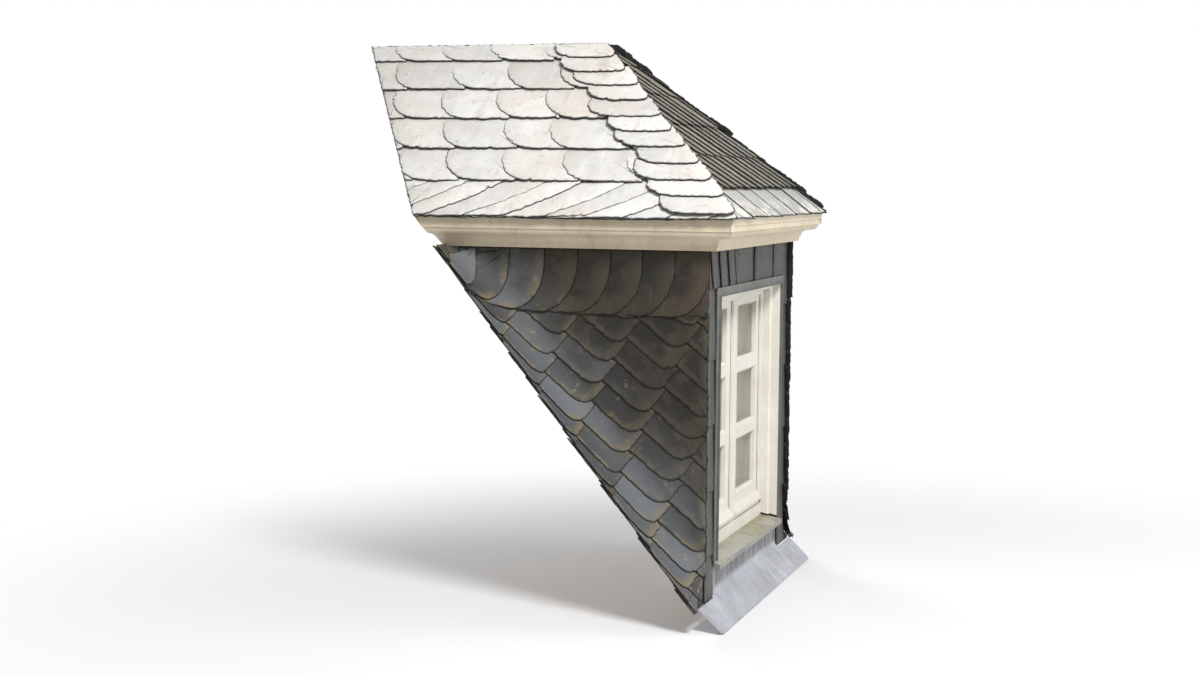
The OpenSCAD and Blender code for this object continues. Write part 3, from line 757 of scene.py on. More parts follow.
def add_values(mesh, name, values):
    """Stores a number or a vector at each point of a mesh."""
    values = np.asarray(values, float)
    kind, key = ("FLOAT_VECTOR", "vector") if values.ndim == 2 else ("FLOAT", "value")
    mesh.attributes.new(name, kind, "POINT").data.foreach_set(key, values.ravel())


def outwards(mesh):
    """Turns all faces of a mesh to look out."""
    shape = bmesh.new()
    shape.from_mesh(mesh)
    bmesh.ops.recalc_face_normals(shape, faces=shape.faces)
    shape.to_mesh(mesh)
    shape.free()


def add_piece(name, mesh, finish, slot, *nodes):
    """Puts a mesh into the scene as a piece of the dormer."""
    piece = bpy.data.objects.new(name, mesh)
    bpy.context.scene.collection.objects.link(piece)
    mesh.materials.append(finish.material)
    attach(piece, "root")
    if nodes:
        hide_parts(*nodes)
    return piece


# Slates of the side slopes


def to_seat(points):
    """Limit of a side slope at the sloping seat."""
    p = left_slope(points, np.zeros(len(points)))
    return p[:, 2] - p[:, 1] * tan(SEAT_PITCH) - 0.003


def to_front(points):
    """Limit of a side slope at the front of the solids."""
    return points[:, 0] - cad_box[0][1] - 0.003


def hip_y(v):
    """Y of the hip at a distance up the slope."""
    return EAVES_Y + v * cos(ROOF_PITCH)


def past_hip(over):
    """Limit of a side slope, over in front of its hip."""
    return lambda points: points[:, 0] - hip_y(points[:, 1]) + over


def to_ridge(gap):
    """Limit of a side slope, a gap under its ridge."""
    return lambda points: RIDGE_V - gap - points[:, 1]


def side_eaves_course(field, top):
    """Slanting slates: the front edge of each rises forwards in a curve and lies over the slate in front."""
    random = field.random
    # Where a slate lies over its neighbour, it falls by its own thickness over this width
    slope = field.thickness / 0.24
    foot = -0.03
    head = top + 0.07
    rise = head - foot
    length = 0.5
    y = EAVES_Y - 0.08
    while y < SIDE_END:
        step = random.uniform(0.17, 0.21)
        sag = random.uniform(0.035, 0.05)
        lean = random.uniform(0.27, 0.31)
        front = [(y - lean * k * rise / 0.22 - sag * sin(pi * k), foot + rise * k)
                 for k in np.linspace(1, 0, 12)]
        low = foot + random.uniform(0.0, 0.006)
        outline = [(a, max(b, low)) for a, b in front] + [(y + length, low), (y + length, head)]

        def lift(points, edge=y, low=low):
            back = np.maximum(points[:, 0] - edge + (points[:, 1] - low) * 1.3, 0)
            return 0.01 * (1 - (points[:, 1] - low) / 0.33) + np.maximum(0.011 - slope * back, 0)

        field.lay(outline, lift, (past_hip(0.02), to_front, to_seat), wear=0.003, step=0.009, bevel=0.01)
        y += step


def side_upper_courses(field, top, course):
    """Slates with a rounded lower back corner, each of which lies over the one behind it."""
    random = field.random
    count = int((RIDGE_V - top) / course) + 1
    for k in range(count):
        v0 = top + k * course
        height = RIDGE_V + 0.02 - v0 if k == count - 1 else course + 0.12
        back = hip_y(v0) + random.uniform(0.34, 0.44)
        front = hip_y(v0) - 0.02
        while front < SIDE_END + 0.05:
            low = v0 + random.uniform(-0.003, 0.004)
            round_x = random.uniform(0.17, 0.21)
            start = front - 0.12
            sag = random.uniform(0.002, 0.006)
            outline = [(start, low + sag), (start + 0.1, low + 0.4 * sag)]
            outline += bend((back - round_x, low + course), round_x, course, -90, 0, 12)
            outline += [(back, low + height), (start, low + height)]

            def lift(points, start=start, back=back, low=low, height=height):
                y, v = points.T
                return (1 - (v - low) / height) * (0.022 + 0.01 * (y - start) / (back - start))

            field.lay(outline, lift, (past_hip(0.0), to_seat, to_ridge(-0.006)), wear=0.003, step=0.009,
                      bevel=0.01)
            front = back
            back += random.uniform(0.22, 0.32)


def hip_slates(field, top, course):
    """Two to a course: rounded behind, and with a blunt tip that hangs over the front slope."""
    random = field.random
    half = course / 2
    v0 = top - course
    while v0 < RIDGE_V - 0.04:
        low = v0 + random.uniform(-0.004, 0.004)
        high = low + half + 0.05
        over = random.uniform(0.024, 0.052)
        tip = hip_y(low) - over
        back = tip + random.uniform(0.33, 0.42)
        round_x = random.uniform(0.13, 0.18)
        bluntness = random.uniform(0.06, 0.1)
        first = Vector((hip_y(low + bluntness) - over, low + bluntness))
        corner, last = Vector((tip - 0.004, low)), Vector((tip + 0.075, low))
        outline = []
        for k in np.linspace(0, 1, 7):
            point = first * (1 - k) ** 2 + corner * 2 * k * (1 - k) + last * k ** 2
            outline.append((point.x, point.y))
        outline += bend((back - round_x, low + half * 1.05), round_x, half * 1.05, -90, 0, 10)
        outline += [(back, high), (hip_y(high) - over, high)]

        def lift(points, low=low):
            return 0.023 + 0.017 * (1 - (points[:, 1] - low) / (half + 0.05))

        field.lay(outline, lift, (to_ridge(0.03), to_front, to_seat), wear=0.003, step=0.008, bevel=0.01)
        v0 += half


def top_corner_slate(field):
    """A small slate in the top corner, under the last hip slate."""
    size, width = 0.085, 0.2
    low = RIDGE_V - size
    outline = [(hip_y(low) - 0.01, low), (hip_y(low) + width, low), (hip_y(low) + width, RIDGE_V),
               (hip_y(RIDGE_V) - 0.02, RIDGE_V)]
    field.lay(outline, lambda points: 0.008 + 0.012 * (RIDGE_V - points[:, 1]) / size, (to_ridge(0.003),),
              step=0.01)


class DORMER_OT_side_roof_slates(bpy.types.Operator):
    """Lay the slates of both side slopes."""

    bl_idname = "dormer.side_roof_slates"
    bl_label = "Side roof slates"

    def execute(self, context):
        sizes = context.scene.dormer_sizes
        finish = roof_slate_finish(context.scene.dormer_colours)
        for side, surface, seed in (("left", left_slope, 1), ("right", mirrored(left_slope), 2)):
            field = SlateField(f"{side}_roof_slating", surface, sizes.roof_thickness, sizes.seed + seed)
            top = sizes.roof_course - 0.02
            side_eaves_course(field, top)
            side_upper_courses(field, top, sizes.roof_course)
            hip_slates(field, top, sizes.roof_course)
            top_corner_slate(field)
            field.build(finish, "roof_slate", f"{side}_roof_slates")
        return {"FINISHED"}


# Slates of the front slope


def in_hips(points):
    """Limit of the front slope at its two hips."""
    return EAVES_X - 0.002 - points[:, 1] * cos(ROOF_PITCH) - np.abs(points[:, 0])


def front_eaves_course(field, top):
    """Broad smooth slates, each of which lies over its left neighbour."""
    random = field.random
    foot = -0.018
    head = top + 0.1
    lap, shift = 0.04, 0.1
    x = -EAVES_X - 0.05
    while x < EAVES_X + 0.3:
        width = random.uniform(0.24, 0.32)
        low = foot + random.uniform(0.0, 0.005)
        outline = [(x, low), (x + width * 0.5, low + random.uniform(0, 0.004)), (x + width + lap, low),
                   (x + width + lap - shift, head), (x - shift, head)]

        def lift(points, x=x, low=low, width=width):
            across = (points[:, 0] - x + (points[:, 1] - low) * 0.35) / width
            return 0.008 * (1 - (points[:, 1] - low) / 0.28) + np.clip(0.006 * (1 - across), 0, 0.008)

        field.lay(outline, lift, (in_hips,), wear=0.0026, step=0.008, bevel=0.006)
        x += width


def front_upper_courses(field, top, course, usual_width):
    """Leaning slates in level courses, with wider ones at the right ends."""
    random = field.random
    t = field.thickness
    lean = tan(radians(38))
    height = course + 0.1
    for k in range(int((RIDGE_V - top) / course) + 1):
        v0 = top + k * course
        reach = EAVES_X - v0 * cos(ROOF_PITCH) + 0.1
        x = -reach - random.uniform(0, 0.1)
        while x < reach + height * lean:
            wide = x > reach - 0.3
            width = usual_width * (random.uniform(1.25, 1.5) if wide else random.uniform(0.88, 1.12))
            low = v0 + random.uniform(-0.004, 0.004)
            full = width + 0.05
            r = random.uniform(0.04, 0.06)
            flat = [(0.0, r * 0.8)] + bend((r * 0.7, r * 0.8), r * 0.7, r * 0.8, 180, 270, 6)
            flat += bend((full - r, r * 1.3), r, r * 1.3, -90, 0, 7)
            flat += [(full, height), (0.0, height)]
            slant = lean * random.uniform(0.96, 1.04)
            outline = [(x + a - b * slant, low + b) for a, b in flat]

            def lift(points, x=x, low=low, full=full, slant=slant):
                across = (points[:, 0] - x + (points[:, 1] - low) * slant) / full
                return 0.016 * (1 - (points[:, 1] - low) / height) + t * 1.9 * np.clip(1 - across, 0, 1.2)

            field.lay(outline, lift, (in_hips,), wear=0.0022, step=0.009, bevel=0.006, turn=0.66)
            x += width


class DORMER_OT_front_roof_slates(bpy.types.Operator):
    """Lay the slates of the front slope."""

    bl_idname = "dormer.front_roof_slates"
    bl_label = "Front roof slates"

    def execute(self, context):
        sizes = context.scene.dormer_sizes
        field = SlateField("front_roof_slating", front_slope, sizes.roof_thickness, sizes.seed + 3)
        top = 0.165
        front_eaves_course(field, top)
        front_upper_courses(field, top, sizes.roof_course, sizes.front_width)
        field.build(front_roof_finish(context.scene.dormer_colours), "roof_slate", "front_roof_slates")
        return {"FINISHED"}


# Cheek slates


def on_cheek(points):
    """Places of flat points on the cheek's face."""
    return left_cheek_wall(points, np.zeros(len(points)))


def before_corner(corner_lap):
    """Limit of a cheek at its front corner, lapping past it only above the apron."""
    apron_normal = np.array([0, -sin(APRON_FALL), cos(APRON_FALL)])

    def inside(points):
        p = on_cheek(points)
        above = (p - (0, FOLD_Y, FOLD_Z)) @ apron_normal + APRON_R - 0.0035
        lap = np.minimum(p[:, 1] - FACE_Y + corner_lap, above)
        return np.maximum(p[:, 1] - FACE_Y - 0.001, lap)

    return inside


def under_cornice(points):
    """Limit of a cheek under the cornice."""
    return CORNICE_Z - 0.001 - on_cheek(points)[:, 2]


def on_seat(points):
    """Limit of the swept slates, out on the sloping seat."""
    return points[:, 1] - FOOT_W - 0.009


def under_tall_course(points):
    """Limit of the slanting slates, just behind the tall course's foot."""
    return TALL_FOOT + 0.016 - points[:, 0] * sin(SEAT_PITCH) - points[:, 1] * cos(SEAT_PITCH)


def slanting_slates(field, corner_lap):
    """Scale slates in slanting rows that run round the valley."""
    random = field.random
    t = field.thickness
    # Directions along a slate's foot and up its side, and the steps to the next slate of each kind
    rows = np.array([-0.971, 0.242])
    rise = np.array([0.242, 0.971])
    down = rows * 0.0204 - rise * 0.1073
    forward = rows * 0.2488 + rise * 0.0522
    # How far a slate reaches back and forwards from its origin, its height, and what shows of it
    back_reach, front_reach, height = 0.078, 0.266, 0.157
    shown_width, shown_height = 0.249, 0.107
    origin = np.array([0.55, 0.55])
    for i in range(-22, 26):
        for j in range(-9, 10):
            start = origin + down * i + forward * j
            if not (-0.4 < start[0] < 2.3 and -0.4 < start[1] < 1.4):
                continue
            r = random.uniform(0.062, 0.085)
            back = -back_reach + random.uniform(-0.004, 0.004)
            front = front_reach + random.uniform(-0.006, 0.006)
            low = random.uniform(-0.003, 0.003)
            flat = [(back, low)] + bend((front - r * 1.15, low + r), r * 1.15, r, -90, 0, 8)
            flat += [(front, height), (back, height)]
            twist = radians(random.uniform(-0.7, 0.7))
            along = rows * cos(twist) + rise * sin(twist)
            upward = rise * cos(twist) - rows * sin(twist)
            outline = [start + along * a + upward * b for a, b in flat]

            def lift(points, start=start):
                local = points - start
                a, b = local @ rows, local @ rise
                return t * (1.6 * (a + back_reach) / shown_width + 1.25 * (height - b) / shown_height) - 0.002

            edge = before_corner(corner_lap - random.uniform(0, 0.007))
            field.lay(outline, lift, (under_tall_course, under_cornice, edge, on_seat), wear=0.0022,
                      step=0.009, bevel=0.007, turn=-1.33)


def tall_course(field, corner_lap):
    """Tall slates under the cornice: a long quarter ellipse in front, and the back slate lies over."""
    random = field.random
    step_y = np.array([cos(SEAT_PITCH), -sin(SEAT_PITCH)])
    step_z = np.array([sin(SEAT_PITCH), cos(SEAT_PITCH)])
    top = CORNICE_Z + 0.03
    lap = 0.24
    y = FACE_Y - corner_lap - 0.18
    while y < 1.6:
        width = random.uniform(0.145, 0.175)
        low = TALL_FOOT + random.uniform(-0.004, 0.004)
        rx, rz = random.uniform(0.16, 0.18), random.uniform(0.2, 0.23)
        flat = bend((y + rx, low + rz), rx, rz, 180, 270, 12)
        flat += [(y + width + lap, low), (y + width + lap, top), (y, top)]
        outline = [a * step_y + b * step_z for a, b in flat]

        def lift(points, y=y, low=low):
            a, b = points @ step_y, points @ step_z
            return 0.022 * (1 - 0.75 * (b - low) / 0.3) + np.clip(0.013 - 0.055 * (a - y), -0.007, 0.013)

        edge = before_corner(corner_lap - random.uniform(0, 0.004))
        field.lay(outline, lift, (under_cornice, edge, on_seat), wear=0.002, step=0.01, bevel=0.007,
                  turn=-SEAT_PITCH)
        y += width


class DORMER_OT_cheek_slates(bpy.types.Operator):
    """Lay the slates of both cheeks and valleys."""

    bl_idname = "dormer.cheek_slates"
    bl_label = "Cheek slates"

    def execute(self, context):
        sizes = context.scene.dormer_sizes
        finish = cheek_slate_finish(context.scene.dormer_colours)
        # Only the right cheek's slates stand out past the corner
        for side, surface, lap, seed in (("left", left_cheek_wall, 0.002, 4),
                                         ("right", mirrored(left_cheek_wall), CORNER_LAP, 5)):
            field = SlateField(f"{side}_cheek_slating", surface, sizes.cheek_thickness, sizes.seed + seed,
                               curved=True)
            slanting_slates(field, lap)
            tall_course(field, lap)
            field.build(finish, "cheek_slate", f"{side}_cheek_slates")
        return {"FINISHED"}


# Slates round the window


def inside_corners(points):
    """Limit of the front wall's slates at both its corners."""
    return CHEEK_X + 0.006 - np.abs(points[:, 0])


def beside_window(points):
    """Limit of the corner slates at the window's opening."""
    return np.abs(points[:, 0]) - OPENING_X - 0.001


def below_cornice(points):
    """Limit of the front wall's slates under the cornice."""
    return CORNICE_Z - 0.001 - points[:, 1]


def corner_slates(field, foot, head_foot, usual_height):
    """A column of slates on each side of the window."""
    random = field.random
    inner, outer = OPENING_X - 0.02, CHEEK_X + 0.02
    lap = 0.03

    def above_foot(points):
        return points[:, 1] - foot + 0.009

    def under_head_band(points):
        return TRIM_TOP + 0.03 - points[:, 1]

    for side in (-1, 1):
        z = foot - 0.12 * (side < 0)
        while z < head_foot:
            height = usual_height * random.uniform(0.94, 1.06)
            low, high = z, z + height + lap
            tilt = random.uniform(-0.004, 0.004)
            outline = [(side * inner, low + tilt), (side * outer, low - tilt), (side * outer, high),
                       (side * inner, high)]

            def lift(points, low=low, height=height):
                return 0.0078 * np.clip(1 - (points[:, 1] - low) / (height + lap), 0, 1)

            field.lay(outline, lift,
                      (inside_corners, beside_window, above_foot, below_cornice, under_head_band),
                      wear=0.0014, step=0.011, bevel=0.003)
            z += height


def head_band(field, foot):
    """Narrow leaning slates, broad smooth ones and narrow ones, each lying over its left neighbour."""
    random = field.random
    band, lap = 0.2, 0.04
    x = -CHEEK_X - 0.09
    number = 0
    while x < CHEEK_X + 0.02:
        narrow = number < 4 or x > CHEEK_X - 0.18
        width = random.uniform(0.13, 0.15) if narrow else random.uniform(0.3, 0.4)
        lean = random.uniform(0.05, 0.06) if number < 5 else 0.006
        right = x + width + lap
        outline = [(x - lean * (1 - (1 - k) ** 1.6), foot + band * k) for k in np.linspace(1, 0, 7)]
        outline += [(right, foot), (right, foot + band)]

        def lift(points, x=x, width=width, lean=lean):
            across = points[:, 0] - x + lean * (points[:, 1] - foot) / band
            return 0.0035 + (0.012 if width < 0.2 else 0.008) * np.clip(1 - across / (width + lap), 0, 1)

        field.lay(outline, lift, (inside_corners, below_cornice), wear=0.0016, step=0.01, bevel=0.004)
        x += width
        number += 1


class DORMER_OT_front_slates(bpy.types.Operator):
    """Lay the slates beside the window and the head band over it."""

    bl_idname = "dormer.front_slates"
    bl_label = "Front slates"

    def execute(self, context):
        sizes = context.scene.dormer_sizes
        field = SlateField("front_slating", front_wall, sizes.thickness, sizes.seed + 6)
        head_foot = TRIM_TOP + 0.0005
        corner_slates(field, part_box("front_slates")[0].z, head_foot, sizes.strip_height)
        head_band(field, head_foot)
        field.build(front_slate_finish(context.scene.dormer_colours), "front_slate", "front_slates")
        return {"FINISHED"}


# Boards


def sawn_boards(node, name, normal, width, finish, slot, run, seed, gap=0.0016):
    """Cuts a boarded layer's own solid into its single boards, with joints across the normal."""
    random = np.random.default_rng(seed)
    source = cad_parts[node]
    normal = Vector(normal).normalized()
    run = Vector(run).normalized()
    across = normal.cross(run)
    reach = [normal.dot(vertex.co) for vertex in source.data.vertices]
    joined = bmesh.new()
    shade_layer = joined.verts.layers.float.new("shade")
    place_layer = joined.verts.layers.float_vector.new("place")
    first = floor(min(reach) / width)
    last = floor(max(reach) / width)
    for k in range(first, last + 1):
        board = bmesh.new()
        board.from_mesh(source.data)
        bmesh.ops.remove_doubles(board, verts=board.verts, dist=1e-6)
        for at, side in ((k * width + gap / 2, -1), ((k + 1) * width - gap / 2, 1)):
            if not board.verts:
                break
            cut = bmesh.ops.bisect_plane(
                board, geom=board.verts[:] + board.edges[:] + board.faces[:], dist=1e-7,
                plane_co=normal * at, plane_no=normal * side, clear_outer=True)
            open_edges = [e for e in cut["geom_cut"] if isinstance(e, bmesh.types.BMEdge)]
            if open_edges:
                bmesh.ops.edgenet_fill(board, edges=open_edges)
        if len(board.faces) > 3:
            shade = float(random.random())
            offset = Vector(random.uniform(-20, 20, 3))
            made = {}
            for vertex in board.verts:
                new = joined.verts.new(vertex.co)
                new[shade_layer] = shade
                new[place_layer] = Vector((run.dot(vertex.co), normal.dot(vertex.co),
                                           across.dot(vertex.co))) + offset
                made[vertex] = new
            for face in board.faces:
                joined.faces.new([made[vertex] for vertex in face.verts])
        board.free()
    bmesh.ops.recalc_face_normals(joined, faces=joined.faces)
    mesh = bpy.data.meshes.new(name)
    joined.to_mesh(mesh)
    joined.free()
    return add_piece(name, mesh, finish, slot, node)


class DORMER_OT_boards(bpy.types.Operator):
    """Cut the boarded walls, slopes, linings and ceiling into boards."""

    bl_idname = "dormer.boards"
    bl_label = "Boards and linings"

    def execute(self, context):
        sizes = context.scene.dormer_sizes
        colours = context.scene.dormer_colours
        timber = tuple(colours.timber)
        rough = wood_finish("sawn boards", scaled(timber, (1.05, 1.1, 1.15)), None)
        planed = wood_finish("planed boards", tuple(colours.lining), None, rough=0.55, knots=0.6, planed=True)
        x, y, z = (1, 0, 0), (0, 1, 0), (0, 0, 1)
        left = (cos(ROOF_PITCH), 0, sin(ROOF_PITCH))
        right = (-cos(ROOF_PITCH), 0, sin(ROOF_PITCH))
        front = (0, cos(ROOF_PITCH), sin(ROOF_PITCH))
        # Each layer's node, the piece made of it, the direction across its joints, and along its boards
        for node, name, across, along, seed in (
                ("left_cheek", "left_cheek_boarding", z, y, 11),
                ("right_cheek", "right_cheek_boarding", z, y, 12),
                ("front_boards", "front_boarding", z, x, 13),
                ("left_roof_boards", "left_roof_boarding", left, y, 14),
                ("right_roof_boards", "right_roof_boarding", right, y, 15),
                ("front_roof_boards", "front_roof_boarding", front, x, 16)):
            sawn_boards(node, name, across, sizes.board_width, rough, "rough_boards", along, seed)
        for node, name, across, seed in (("left_lining", "left_lining_boards", z, 17),
                                         ("right_lining", "right_lining_boards", z, 18),
                                         ("ceiling", "ceiling_boards", x, 19)):
            sawn_boards(node, name, across, sizes.lining_width, planed, "inner_lining", y, seed)
        return {"FINISHED"}


class DORMER_OT_timber(bpy.types.Operator):
    """Give the frame, the valley boards and the lay boards their sawn finish."""

    bl_idname = "dormer.timber"
    bl_label = "Timber frame"

    def execute(self, context):
        colours = context.scene.dormer_colours
        base = tuple(colours.timber)
        dress(wood_finish("sawn timber along x", base, "x"), "threshold", "window_head", "front_plate",
              "rear_trimmer")
        dress(wood_finish("sawn timber along y", base, "y"), "left_plate", "right_plate", "ridge_beam")
        dress(wood_finish("sawn timber up the slope", base, "y slope"), "left_sole", "right_sole",
              "lay_boards")
        dress(wood_finish("weathered valley board", tuple(colours.valley_board), "y slope"),
              "left_valley_board", "right_valley_board")
        dress(wood_finish("sawn timber upright", base, "z"), "left_corner_post", "right_corner_post", "studs")
        dress(wood_finish("sawn rafters", base, "z"), "hip_rafters", "rafters")
        return {"FINISHED"}


# Cornice


def strips_piece(name, boxes, finish, slot, bevel=0.0008, turned=Matrix()):
    """Small strips with eased edges, each given by its lowest and highest corner before it is turned."""
    shape = bmesh.new()
    for low, high in boxes:
        size = Vector(high) - Vector(low)
        made = bmesh.ops.create_cube(shape, size=1)["verts"]
        for vertex in made:
            vertex.co = Vector([a + (b + 0.5) * c for a, b, c in zip(low, vertex.co, size)])
        edges = {edge for vertex in made for edge in vertex.link_edges}
        bmesh.ops.bevel(shape, geom=list(edges), offset=bevel, segments=2, affect="EDGES")
    bmesh.ops.transform(shape, matrix=turned, verts=shape.verts)
    mesh = bpy.data.meshes.new(name)
    shape.to_mesh(mesh)
    shape.free()
    return add_piece(name, mesh, finish, slot)


class DORMER_OT_cornice(bpy.types.Operator):
    """Paint the cornice and soffit and add the cover strips at the mitres."""

    bl_idname = "dormer.cornice"
    bl_label = "Cornice"

    def execute(self, context):
        base = tuple(context.scene.dormer_colours.cream_paint)
        finish = paint_finish("cream paint", base, scaled(base, (0.62, 0.55, 0.45)))
        dress(finish, "left_cornice", "right_cornice", "front_cornice", "soffit")
        # Strips over the roof boards' edges
        low, high, out = EAVES_Z + 0.0005, EAVES_Z + DECK_RISE, 0.004
        end = low / tan(SEAT_PITCH) - 0.002
        x, y = EAVES_X, EAVES_Y
        strips_piece("eaves_strips", [
            ((-x - out, y - out, low), (-x, end, high)), ((x, y - out, low), (x + out, end, high)),
            ((-x, y - out, low), (x, y, high))], finish, "cream_paint")
        # A cover bent round each mitre, just outside the strips
        white = paint_finish("mitre cover paint", scaled(base, (1.08, 1.15, 1.3)),
                             scaled(base, (0.62, 0.55, 0.45)))
        skin, out, wide = 0.0042, 0.006, 0.006
        foot, head = EAVES_Z - 0.023, high - 0.001
        covers = []
        for side in (-1, 1):
            xs = sorted((side * (x + skin), side * (x + out)))
            covers.append(((xs[0], y - out, foot), (xs[1], y + wide, head)))
            xs = sorted((side * (x - wide), side * (x + skin)))
            covers.append(((xs[0], y - out, foot), (xs[1], y - skin, head)))
        strips_piece("mitre_covers", covers, white, "cream_paint", bevel=0.0005)
        return {"FINISHED"}


# Window


class DORMER_OT_window(bpy.types.Operator):
    """Paint the window and its linings, glaze the panes, and set strips of painted shadow in its gaps."""

    bl_idname = "dormer.window"
    bl_label = "Window"

    def execute(self, context):
        base = tuple(context.scene.dormer_colours.window_paint)
        finish = paint_finish("window paint", base, scaled(base, (0.7, 0.62, 0.5)), rough=0.34,
                              streaks=0.25, spots=0.25)
        dress(finish, "window_frame", "left_sash", "right_sash", "reveal_lining")
        dress(glass_finish(), "glass")
        shadow = paint_finish("joint shadow", (0.02, 0.018, 0.015), (0.03, 0.025, 0.02), rough=0.8,
                              streaks=0.1, spots=0.1)
        # Painted shadow: dark strips in the open joints round the sashes, inside the frame's lip, and beside
        # the cover strip
        lap, wide = 0.015, 0.003
        x = round(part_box("right_sash")[1].x - lap, 4)
        foot = round(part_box("right_sash")[0].z + lap, 4)
        top = round(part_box("right_sash")[1].z - lap, 4)
        cover = -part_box("right_sash")[0].x
        cover_foot = foot + 0.05
        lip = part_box("window_frame")[0].y + 0.012
        front, back = lip - 0.0008, lip + 0.0004
        strips_piece("sash_joint_shadows", [
            ((-x, front, foot), (-x + wide, back, top)),
            ((x - wide, front, foot), (x, back, top)),
            ((-x + wide, front, top - wide), (-cover, back, top)),
            ((cover, front, top - wide), (x - wide, back, top)),
            ((-cover - wide, front, cover_foot), (-cover, back, top - wide)),
            ((cover, front, cover_foot), (cover + wide * 0.6, back, top - wide))],
            shadow, "window_paint", bevel=0.0002)
        # Painted shadow: dark strips backing the gap between the sill, which falls outwards, and the reveal
        # lining's feet
        fall = radians(12)
        sill_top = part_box("window_sill")[1].z
        falling = Matrix.Translation((0, 0, sill_top)) @ Matrix.Rotation(fall, 4, "X")
        side_out, side_in, gap = OPENING_X - 0.0005, OPENING_X - 0.002, 0.0112
        end_out, end_in = OPENING_X - 0.001, OPENING_X - 0.025
        strips_piece("sill_gap_shadows", [
            ((-side_out, -0.078, -0.02), (-side_in, -0.002, gap)),
            ((side_in, -0.078, -0.02), (side_out, -0.002, gap)),
            ((-end_out, -0.003, 0.0005), (-end_in, -0.0005, gap)),
            ((end_in, -0.003, 0.0005), (end_out, -0.0005, gap))],
            shadow, "window_paint", bevel=0.0002, turned=falling)
        return {"FINISHED"}


class DORMER_OT_curtains(bpy.types.Operator):
    """Hang a net curtain behind each sash, on its own rod."""

    bl_idname = "dormer.curtains"
    bl_label = "Net curtains"

    def execute(self, context):
        colours = context.scene.dormer_colours
        net = net_finish(colours)
        rod_finish = paint_finish("rod paint", tuple(colours.window_paint), (0.4, 0.36, 0.3), rough=0.3,
                                  streaks=0.1, spots=0.1)
        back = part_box("left_sash")[1].y
        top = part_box("glass")[1].z + 0.02
        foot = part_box("glass")[0].z - 0.03
        inner, outer = 0.05, 0.5
        rod_y, rod_r = back + 0.024, 0.004
        for side, name in ((-1, "left"), (1, "right")):
            rod = rod_mesh(f"{name}_curtain_rod", side * inner, side * outer, rod_y, top, rod_r, back)
            rod_piece = add_piece(f"{name}_curtain_rod", rod, rod_finish, "window_paint")
            mesh, width = curtain_mesh(f"{name}_curtain", side, inner + 0.012, outer - 0.012, rod_y,
                                       top, foot, rod_r, 31 + side)
            curtain = add_piece(f"{name}_curtain", mesh, net, None)
        return {"FINISHED"}


def rod_mesh(name, x0, x1, y, z, radius, back):
    """A thin rod with a round bracket at each end."""
    shape = bmesh.new()
    length = abs(x1 - x0)
    turn = Matrix.Rotation(pi / 2, 4, "Y")
    bmesh.ops.create_cone(shape, cap_ends=True, segments=16, radius1=radius, radius2=radius, depth=length,
                          matrix=Matrix.Translation(((x0 + x1) / 2, y, z)) @ turn)
    for x in (x0, x1):
        reach = y - back
        wide = radius * 1.6
        bmesh.ops.create_cone(
            shape, cap_ends=True, segments=16, radius1=wide, radius2=wide, depth=reach + radius,
            matrix=Matrix.Translation((x, back + reach / 2, z)) @ Matrix.Rotation(pi / 2, 4, "X"))
    for face in shape.faces:
        face.smooth = len(face.verts) == 4
    mesh = bpy.data.meshes.new(name)
    shape.to_mesh(mesh)
    shape.free()
    return mesh


def curtain_mesh(name, side, inner, outer, y, top, foot, rod_r, seed):
    """A gathered net with soft folds. Gives its mesh and its flat width."""
    random = np.random.default_rng(seed)
    across, rows, folds = 220, 36, 6
    u = np.linspace(0, 1, across)
    phase = np.cumsum(random.uniform(0.7, 1.3, across))
    phase = phase / phase[-1] * 2 * pi * folds
    shapes = []
    widths = []
    for k in range(rows):
        down = k / (rows - 1)
        depth = 0.008 + 0.014 * min(1, down * 3)
        fold = np.sin(phase) + 0.3 * np.sin(phase * 0.37 + 3 * down + 1)
        x = inner + (outer - inner) * u + 0.002 * np.sin(phase * 2 + down * 2)
        yy = y + rod_r + 0.001 + depth * (fold + 1.3)
        z = np.full(across, top + 0.004 - (top - foot) * down)
        shapes.append(np.stack([side * x, yy, z], 1))
        widths.append(float(np.sum(np.hypot(np.diff(x), np.diff(yy)))))
    points = np.concatenate(shapes)
    faces = [(r * across + c, r * across + c + 1, (r + 1) * across + c + 1, (r + 1) * across + c)
             for r in range(rows - 1) for c in range(across - 1)]
    mesh = bpy.data.meshes.new(name)
    mesh.from_pydata(points.tolist(), [], faces)
    mesh.polygons.foreach_set("use_smooth", [True] * len(faces))
    return mesh, sum(widths) / rows


# Metal


class DORMER_OT_metal(bpy.types.Operator):
    """Give the trims, the sill and the apron their zinc finishes."""

    bl_idname = "dormer.metal"
    bl_label = "Zinc"

    def execute(self, context):
        colours = context.scene.dormer_colours
        dress(trim_finish(colours), "opening_trim")
        dress(sill_finish(colours), "window_sill")
        dress(apron_finish(colours), "front_apron")
        return {"FINISHED"}


# Stage: floor, light and camera


def add_floor(scene):
    """A round floor, white to the camera away from the dormer."""
    shape = bmesh.new()
    bmesh.ops.create_circle(shape, cap_ends=True, segments=96, radius=30)
    mesh = bpy.data.meshes.new("stage_floor")
    shape.to_mesh(mesh)
    shape.free()
    ground = bpy.data.objects.new("stage_floor", mesh)
    ground.location.z = cad_box[0][2] - 0.002
    scene.collection.objects.link(ground)
    pale = Finish("pale floor", 0.9)
    pale.shader.inputs["Base Color"].default_value = (0.8, 0.8, 0.8, 1)
    away = pale.node("ShaderNodeVectorMath", {"operation": "LENGTH"}, {0: pale.own()}, output="Value")
    glow = pale.node("ShaderNodeEmission", None, {"Color": (1, 1, 1), "Strength": 1.0})
    pale.surface("Material Output", away.over(1.6, 4.2) * pale.ray("Is Camera Ray"), pale.shading(), glow)
    mesh.materials.append(pale.material)


